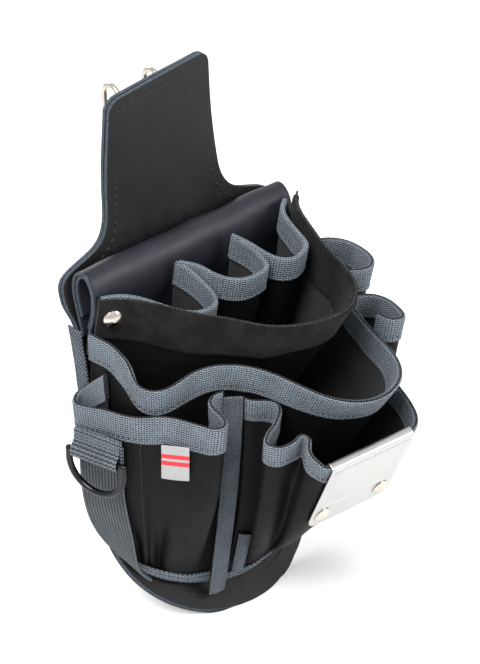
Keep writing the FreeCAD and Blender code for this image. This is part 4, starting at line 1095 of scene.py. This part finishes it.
class POUCH_OT_seam_strips(bpy.types.Operator):
    """Make the divider strip, the side seam strips and the folded webbing at the fold's foot"""
    bl_idname = "pouch.seam_strips"
    bl_label = "Seam Strips"

    def execute(self, context):
        divider = [[(-32.5, -78.6, 167), (-28, -81.2, 167), (-23, -84.4, 166)],
                   [(-31.8, -74.8, 105), (-27.5, -77, 105), (-22.6, -79.8, 105)],
                   [(-33.5, -65.4, 14.6), (-28.5, -66, 14.1), (-23, -66.6, 13.8)]]
        fold = [[(-17.5, -75.5, 58), (-14.5, -77.5, 57), (-11.5, -80, 56)],
                [(-17.5, -69, 26), (-14.5, -70.5, 26), (-11.5, -72, 26)]]
        self.strip("divider_tape", divider, "divider_strip", "twill_tape", (0.0, -1.0, 0.0), 1.5, 0.8)
        self.strip("fold_tape", fold, "fold_webbing", "twill_tape", (-0.5, -1.0, 0.0), 1.3, 0.0)
        for side, word, wide, levels in ((-1, "left", 10.0, (203, 165, 135, 104)),
                                         (1, "right", 6.0, (202, 165, 135, 100, 72))):
            rows = []
            for level in levels:
                rear = float(panel_depth(level)) - 0.6
                rows.append([(side * 83.3, rear - wide * t, level) for t in (0, 0.5, 1)])
            self.strip("side_tape_" + word, rows, "side_binding_" + word, "twill_tape",
                       (float(side), 0.0, 0.0), 1.6, 0.0)
        return {"FINISHED"}

    def strip(self, name, rows, node, look, towards, thick, offset):
        """A flat tape through its rows with a row of stitches near each edge."""
        sheet = loft(rows, 13, 90)
        away = np.array(towards)
        sheet = outer_side(sheet, away)
        uv = lengths_of(sheet)
        ridge = 0.35 * np.sin(np.linspace(0, math.pi, 13))[:, None, None]
        facing = facing_of(sheet)
        sheet = sheet + facing * (ridge + offset + ripple(uv[..., 0], uv[..., 1], 24, 7)[..., None] * 0.2)
        points, faces, uv, kind = slab(sheet, thick, 0.0, 0.25)
        parts = [(points, outward(points, faces), uv, kind * 0)]
        lines = []
        for k in (2, 10):
            lines.append(stitches(sheet[k] + facing[k] * (thick / 2 - 0.1), facing[k], 3.2, 2.1, 0.6))
        piece = put_mesh(name, *compose([parts[0], join(lines)],
                                        [finish_named(look), finish_named("thread")]))
        keep(piece, [node])


class POUCH_OT_side_strap(bpy.types.Operator):
    """Make the side strap and the webbing keeper that holds the D-ring"""
    bl_idname = "pouch.side_strap"
    bl_label = "Side Strap"

    RUN = normalised(np.array([9.0, -33.0, 0.0]))

    def execute(self, context):
        half = context.scene.pouch_sizes.strap_width / MM / 2
        out = np.array([self.RUN[1], -self.RUN[0], 0.0])
        stations = [((-87.9, -36.5, 143), half, 1.4), ((-87.5, -36.2, 128), half, 2.2),
                    ((-86.2, -35.0, 105), half, 2.4), ((-82.4, -36.6, 76), half * 0.97, 2.4),
                    ((-78.2, -39.8, 58), half * 0.72, 2.2), ((-73.0, -43.8, 46), half * 0.42, 1.8),
                    ((-67.0, -48.5, 38), half * 0.26, 1.4)]
        rows = []
        for centre, reach, stand in stations:
            middle = np.array(centre) + out * stand
            lean = self.RUN + np.array([0.0, 0.0, -0.9 * (1 - reach / half)])
            lean = normalised(lean)
            rows.append([middle + lean * reach * t for t in (-1, -0.5, 0, 0.5, 1)])
        sheet = outer_side(loft(rows, 25, 90), out)
        points, faces, uv, kind = slab(sheet, 1.5, 0.0, 0.3)
        facing = facing_of(sheet)
        lines = [stitches(sheet[k, :70] + facing[k, :70] * 0.68, facing[k, :70], 3.4, 2.2, 0.6)
                 for k in (2, 22)]
        piece = put_mesh("side_strap_tape", *compose(
            [(points, outward(points, faces), uv[:, ::-1], kind * 0), join(lines)],
            [finish_named("strap_webbing"), finish_named("thread")]))
        keep(piece, ["side_strap"])
        self.keeper(out)
        return {"FINISHED"}

    def keeper(self, out):
        """Webbing looped round the ring's bar: the side view carried along the bar."""
        bar = np.array([-87.9, -36.5, 134.0]) + out * RING_BAR_STAND
        view = [(3.1, 14.5), (3.2, 7.0), (3.0, 1.5), (1.9, -2.2), (-0.6, -3.0), (-2.7, -1.6),
                (-3.0, 1.2), (-1.6, 4.2), (0.6, 6.6), (1.4, 10.0), (1.5, 14.5)]
        line = cubic(view, 60)
        width = np.linspace(-15.5, 15.5, 41)
        inward = -out
        grid = (bar + self.RUN * width[:, None, None] + inward * line[None, :, :1]
                + np.array([0, 0, 1.0]) * line[None, :, 1:])
        ribs = 0.22 * np.abs(np.sin(width * math.pi / 2.6))[:, None, None]
        sheet = outer_side(grid, out)
        sheet = sheet + facing_of(sheet) * ribs
        points, faces, uv, kind = slab(sheet, 1.4, 0.0, 0.2)
        facing = facing_of(sheet)
        zig = []
        for k in (50, 54):
            zig.append(stitches(sheet[:, k] + facing[:, k] * 0.6, facing[:, k], 2.2, 1.7, 0.8))
        piece = put_mesh("ring_keeper_tape", *compose(
            [(points, outward(points, faces), uv, kind * 0), join(zig)],
            [finish_named("keeper_webbing"), finish_named("grey_thread")]))
        keep(piece, ["ring_keeper"])


class POUCH_OT_side_label(bpy.types.Operator):
    """Make the small striped label tucked under the left pocket's binding"""
    bl_idname = "pouch.side_label"
    bl_label = "Side Label"

    def execute(self, context):
        x = np.linspace(0, 16, 17)
        z = np.linspace(22, 0, 23)
        grid = np.zeros((17, 23, 3))
        grid[..., 0] = x[:, None]
        grid[..., 2] = z[None]
        share = step_up(22 - z, 2, 22)[None]
        grid[..., 1] = -1.4 * share - 0.5 * np.sin(x / 16 * math.pi)[:, None] * share
        angle = math.radians(-53)
        turn = np.array([[math.cos(angle), -math.sin(angle), 0], [math.sin(angle), math.cos(angle), 0],
                         [0, 0, 1]])
        sheet = grid @ turn.T + np.array([-71.6, -69.0, 125.5])
        sheet = outer_side(sheet, np.array([-0.8, -0.6, 0.0]))
        points, faces, uv, kind = slab(sheet, 0.8, 0.0, 0.1)
        piece = put_mesh("side_label", points, outward(points, faces), [finish_named("label")], uv)
        keep(piece, ["side_tag"])
        return {"FINISHED"}


class POUCH_OT_tape_plate(bpy.types.Operator):
    """Make the steel plate that a tape measure clips over, with its embossed frame"""
    bl_idname = "pouch.tape_plate"
    bl_label = "Tape Plate"

    def execute(self, context):
        yaw, lean = PLATE_YAW, PLATE_LEAN
        turn_z = np.array([[math.cos(yaw), -math.sin(yaw), 0], [math.sin(yaw), math.cos(yaw), 0],
                           [0, 0, 1]])
        turn_x = np.array([[1, 0, 0], [0, math.cos(lean), -math.sin(lean)],
                           [0, math.sin(lean), math.cos(lean)]])
        bend = [(4.6, -5.0), (4.6, -1.2), (4.2, 0.1), (3.4, 0.6), (1.2, 0.6), (0.1, 0.3), (-0.6, -0.9),
                (-0.6, -3.0)]
        top = cubic(bend, 40)
        face = np.stack([np.full(118, -0.6), np.linspace(-3.4, -59.4, 118)], -1)
        line = np.concatenate([top, face])
        total = len(line)
        share = np.linspace(-1, 1, 121)
        down = -line[:, 1]
        foot = np.clip(down - (59.4 - 7.0), 0, 7)
        half = 30 - (7 - np.sqrt(np.clip(49 - foot ** 2, 0, 49)))
        grid = np.zeros((121, total, 3))
        grid[..., 0] = share[:, None] * half[None]
        grid[..., 1] = line[None, :, 0]
        grid[..., 2] = line[None, :, 1]
        x, z = np.abs(grid[..., 0]), grid[..., 2]
        reach_x, reach_z = x - 23.0, np.abs(z + 23.0) - 15.5
        outside = np.hypot(np.maximum(reach_x, 0), np.maximum(reach_z, 0))
        frame_line = outside + np.minimum(np.maximum(reach_x, reach_z), 0) - 2.0
        on_face = (np.arange(total) >= 42)[None]
        rise = 0.55 * hill(frame_line, 0.75) + 0.45 * hill(z + 4.2, 0.7) * step_up(30 - x, 0, 1.5)
        grid[..., 1] -= rise * on_face
        sheet = grid @ (turn_z @ turn_x).T + PLATE_PLACE
        way = turn_z @ turn_x @ np.array([0.0, -1.0, 0.0])
        if (facing_of(sheet)[60, 90] * way).sum() < 0:
            sheet = sheet[::-1]
        points, faces, uv, kind = slab(sheet, 1.15, 0.0, 0.12)
        piece = put_mesh("tape_plate", points, outward(points, faces), [finish_named("plate")], uv)
        keep(piece, ["tape_clip_plate"])
        return {"FINISHED"}


class POUCH_OT_metal_parts(bpy.types.Operator):
    """Give the rivets, the wire clip and the D-ring their plated finishes"""
    bl_idname = "pouch.metal_parts"
    bl_label = "Metal Parts"

    FINISHES = {"plate_rivets": "nickel", "rim_rivets": "nickel", "clip_rivets": "nickel",
                "clip_plate": "nickel", "clip_wire": "nickel", "d_ring": "gunmetal"}

    def execute(self, context):
        for name, finish in self.FINISHES.items():
            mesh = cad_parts[name].data
            mesh.materials.clear()
            mesh.materials.append(finish_named(finish))
        return {"FINISHED"}


class POUCH_OT_stage(bpy.types.Operator):
    """Make the pale floor, the soft lights and the camera"""
    bl_idname = "pouch.stage"
    bl_label = "Stage"

    def execute(self, context):
        scene = context.scene
        floor = put_mesh("floor", [(-6000, -6000, 0), (6000, -6000, 0), (6000, 6000, 0), (-6000, 6000, 0)],
                         [[0, 1, 2, 3]], [], smooth=False)
        paint, tree, shader = start_material("matt white board", Roughness=0.9)
        clouds = add_node(tree, "TexNoise", {"Vector": add_node(tree, "TexCoord").outputs["Object"],
                                             "Scale": 3.0})
        tone = add_node(tree, "MapRange", {0: clouds.outputs[0], 3: 0.93, 4: 0.97})
        tree.links.new(tone.outputs[0], shader.inputs["Base Color"])
        floor.data.materials.append(paint)
        world = bpy.data.worlds.new("soft white room")
        world.use_nodes = True
        world.node_tree.nodes["Background"].inputs["Color"].default_value = (1, 1, 1, 1)
        world.node_tree.nodes["Background"].inputs["Strength"].default_value = 0.9
        scene.world = world
        scene.view_settings.view_transform = "Standard"
        self.lamp("key softbox", (-500, -250, 900), 420, 9.0)
        self.lamp("front softbox", (500, -900, 700), 500, 6.0)
        self.lamp("rear strip", (200, 900, 700), 400, 5.0)
        data = bpy.data.cameras.new("camera")
        data.sensor_width = 36.0
        data.lens = 2068.3 / 664 * 36.0
        data.clip_start, data.clip_end = 0.05, 20.0
        camera = bpy.data.objects.new("camera", data)
        scene.collection.objects.link(camera)
        back = direction(-43.0, 33.0)
        target = np.array([2.4, -54.8, 184.3])
        place = (target + back * 1200.0 + ORIGIN) * MM
        camera.location = place
        camera.rotation_mode = "QUATERNION"
        camera.rotation_quaternion = Vector(-back).to_track_quat("-Z", "Y")
        scene.camera = camera
        return {"FINISHED"}

    def lamp(self, name, place, size, power):
        """A square soft light that looks at the middle of the pouch."""
        data = bpy.data.lights.new(name, "AREA")
        data.shape = "SQUARE"
        data.size = size * MM
        data.energy = power
        lamp = bpy.data.objects.new(name, data)
        bpy.context.scene.collection.objects.link(lamp)
        spot = (np.array(place, float) + ORIGIN) * MM
        lamp.location = spot
        aim = (np.array([0, -60.0, 150.0]) + ORIGIN) * MM - spot
        lamp.rotation_mode = "QUATERNION"
        lamp.rotation_quaternion = Vector(aim).to_track_quat("-Z", "Y")


def direction(azimuth, elevation):
    """Unit vector from the target back to the camera."""
    a, e = math.radians(azimuth), math.radians(elevation)
    return np.array([math.sin(a) * math.cos(e), -math.cos(a) * math.cos(e), math.sin(e)])


OPERATORS = (POUCH_OT_leather_back, POUCH_OT_belt_tunnel, POUCH_OT_inner_pocket,
             POUCH_OT_tool_sleeves, POUCH_OT_main_pocket, POUCH_OT_right_sleeves,
             POUCH_OT_left_pocket, POUCH_OT_front_pocket, POUCH_OT_seam_strips,
             POUCH_OT_side_strap, POUCH_OT_side_label, POUCH_OT_tape_plate,
             POUCH_OT_metal_parts, POUCH_OT_stage)


class POUCH_PT_pieces(bpy.types.Panel):
    """List the pouch's pieces with their sizes and colours"""
    bl_idname = "POUCH_PT_pieces"
    bl_label = "Tool Pouch"
    bl_space_type = "VIEW_3D"
    bl_region_type = "UI"
    bl_category = "Pouch"

    def draw(self, context):
        layout = self.layout
        for group in (context.scene.pouch_sizes, context.scene.pouch_colours):
            column = layout.column()
            for name in group.bl_rna.properties.keys():
                if name not in ("rna_type", "name"):
                    column.prop(group, name)
        for operator in OPERATORS:
            layout.operator(operator.bl_idname)


CLASSES = (PouchSizes, PouchColours) + OPERATORS + (POUCH_PT_pieces,)


def register():
    for cls in CLASSES:
        bpy.utils.register_class(cls)
    bpy.types.Scene.pouch_sizes = bpy.props.PointerProperty(type=PouchSizes)
    bpy.types.Scene.pouch_colours = bpy.props.PointerProperty(type=PouchColours)


def unregister():
    del bpy.types.Scene.pouch_colours
    del bpy.types.Scene.pouch_sizes
    for cls in reversed(CLASSES):
        bpy.utils.unregister_class(cls)


def main():
    register()
    for operator in OPERATORS:
        group, name = operator.bl_idname.split(".")
        getattr(getattr(bpy.ops, group), name)()


if __name__ == "__main__":
    main()
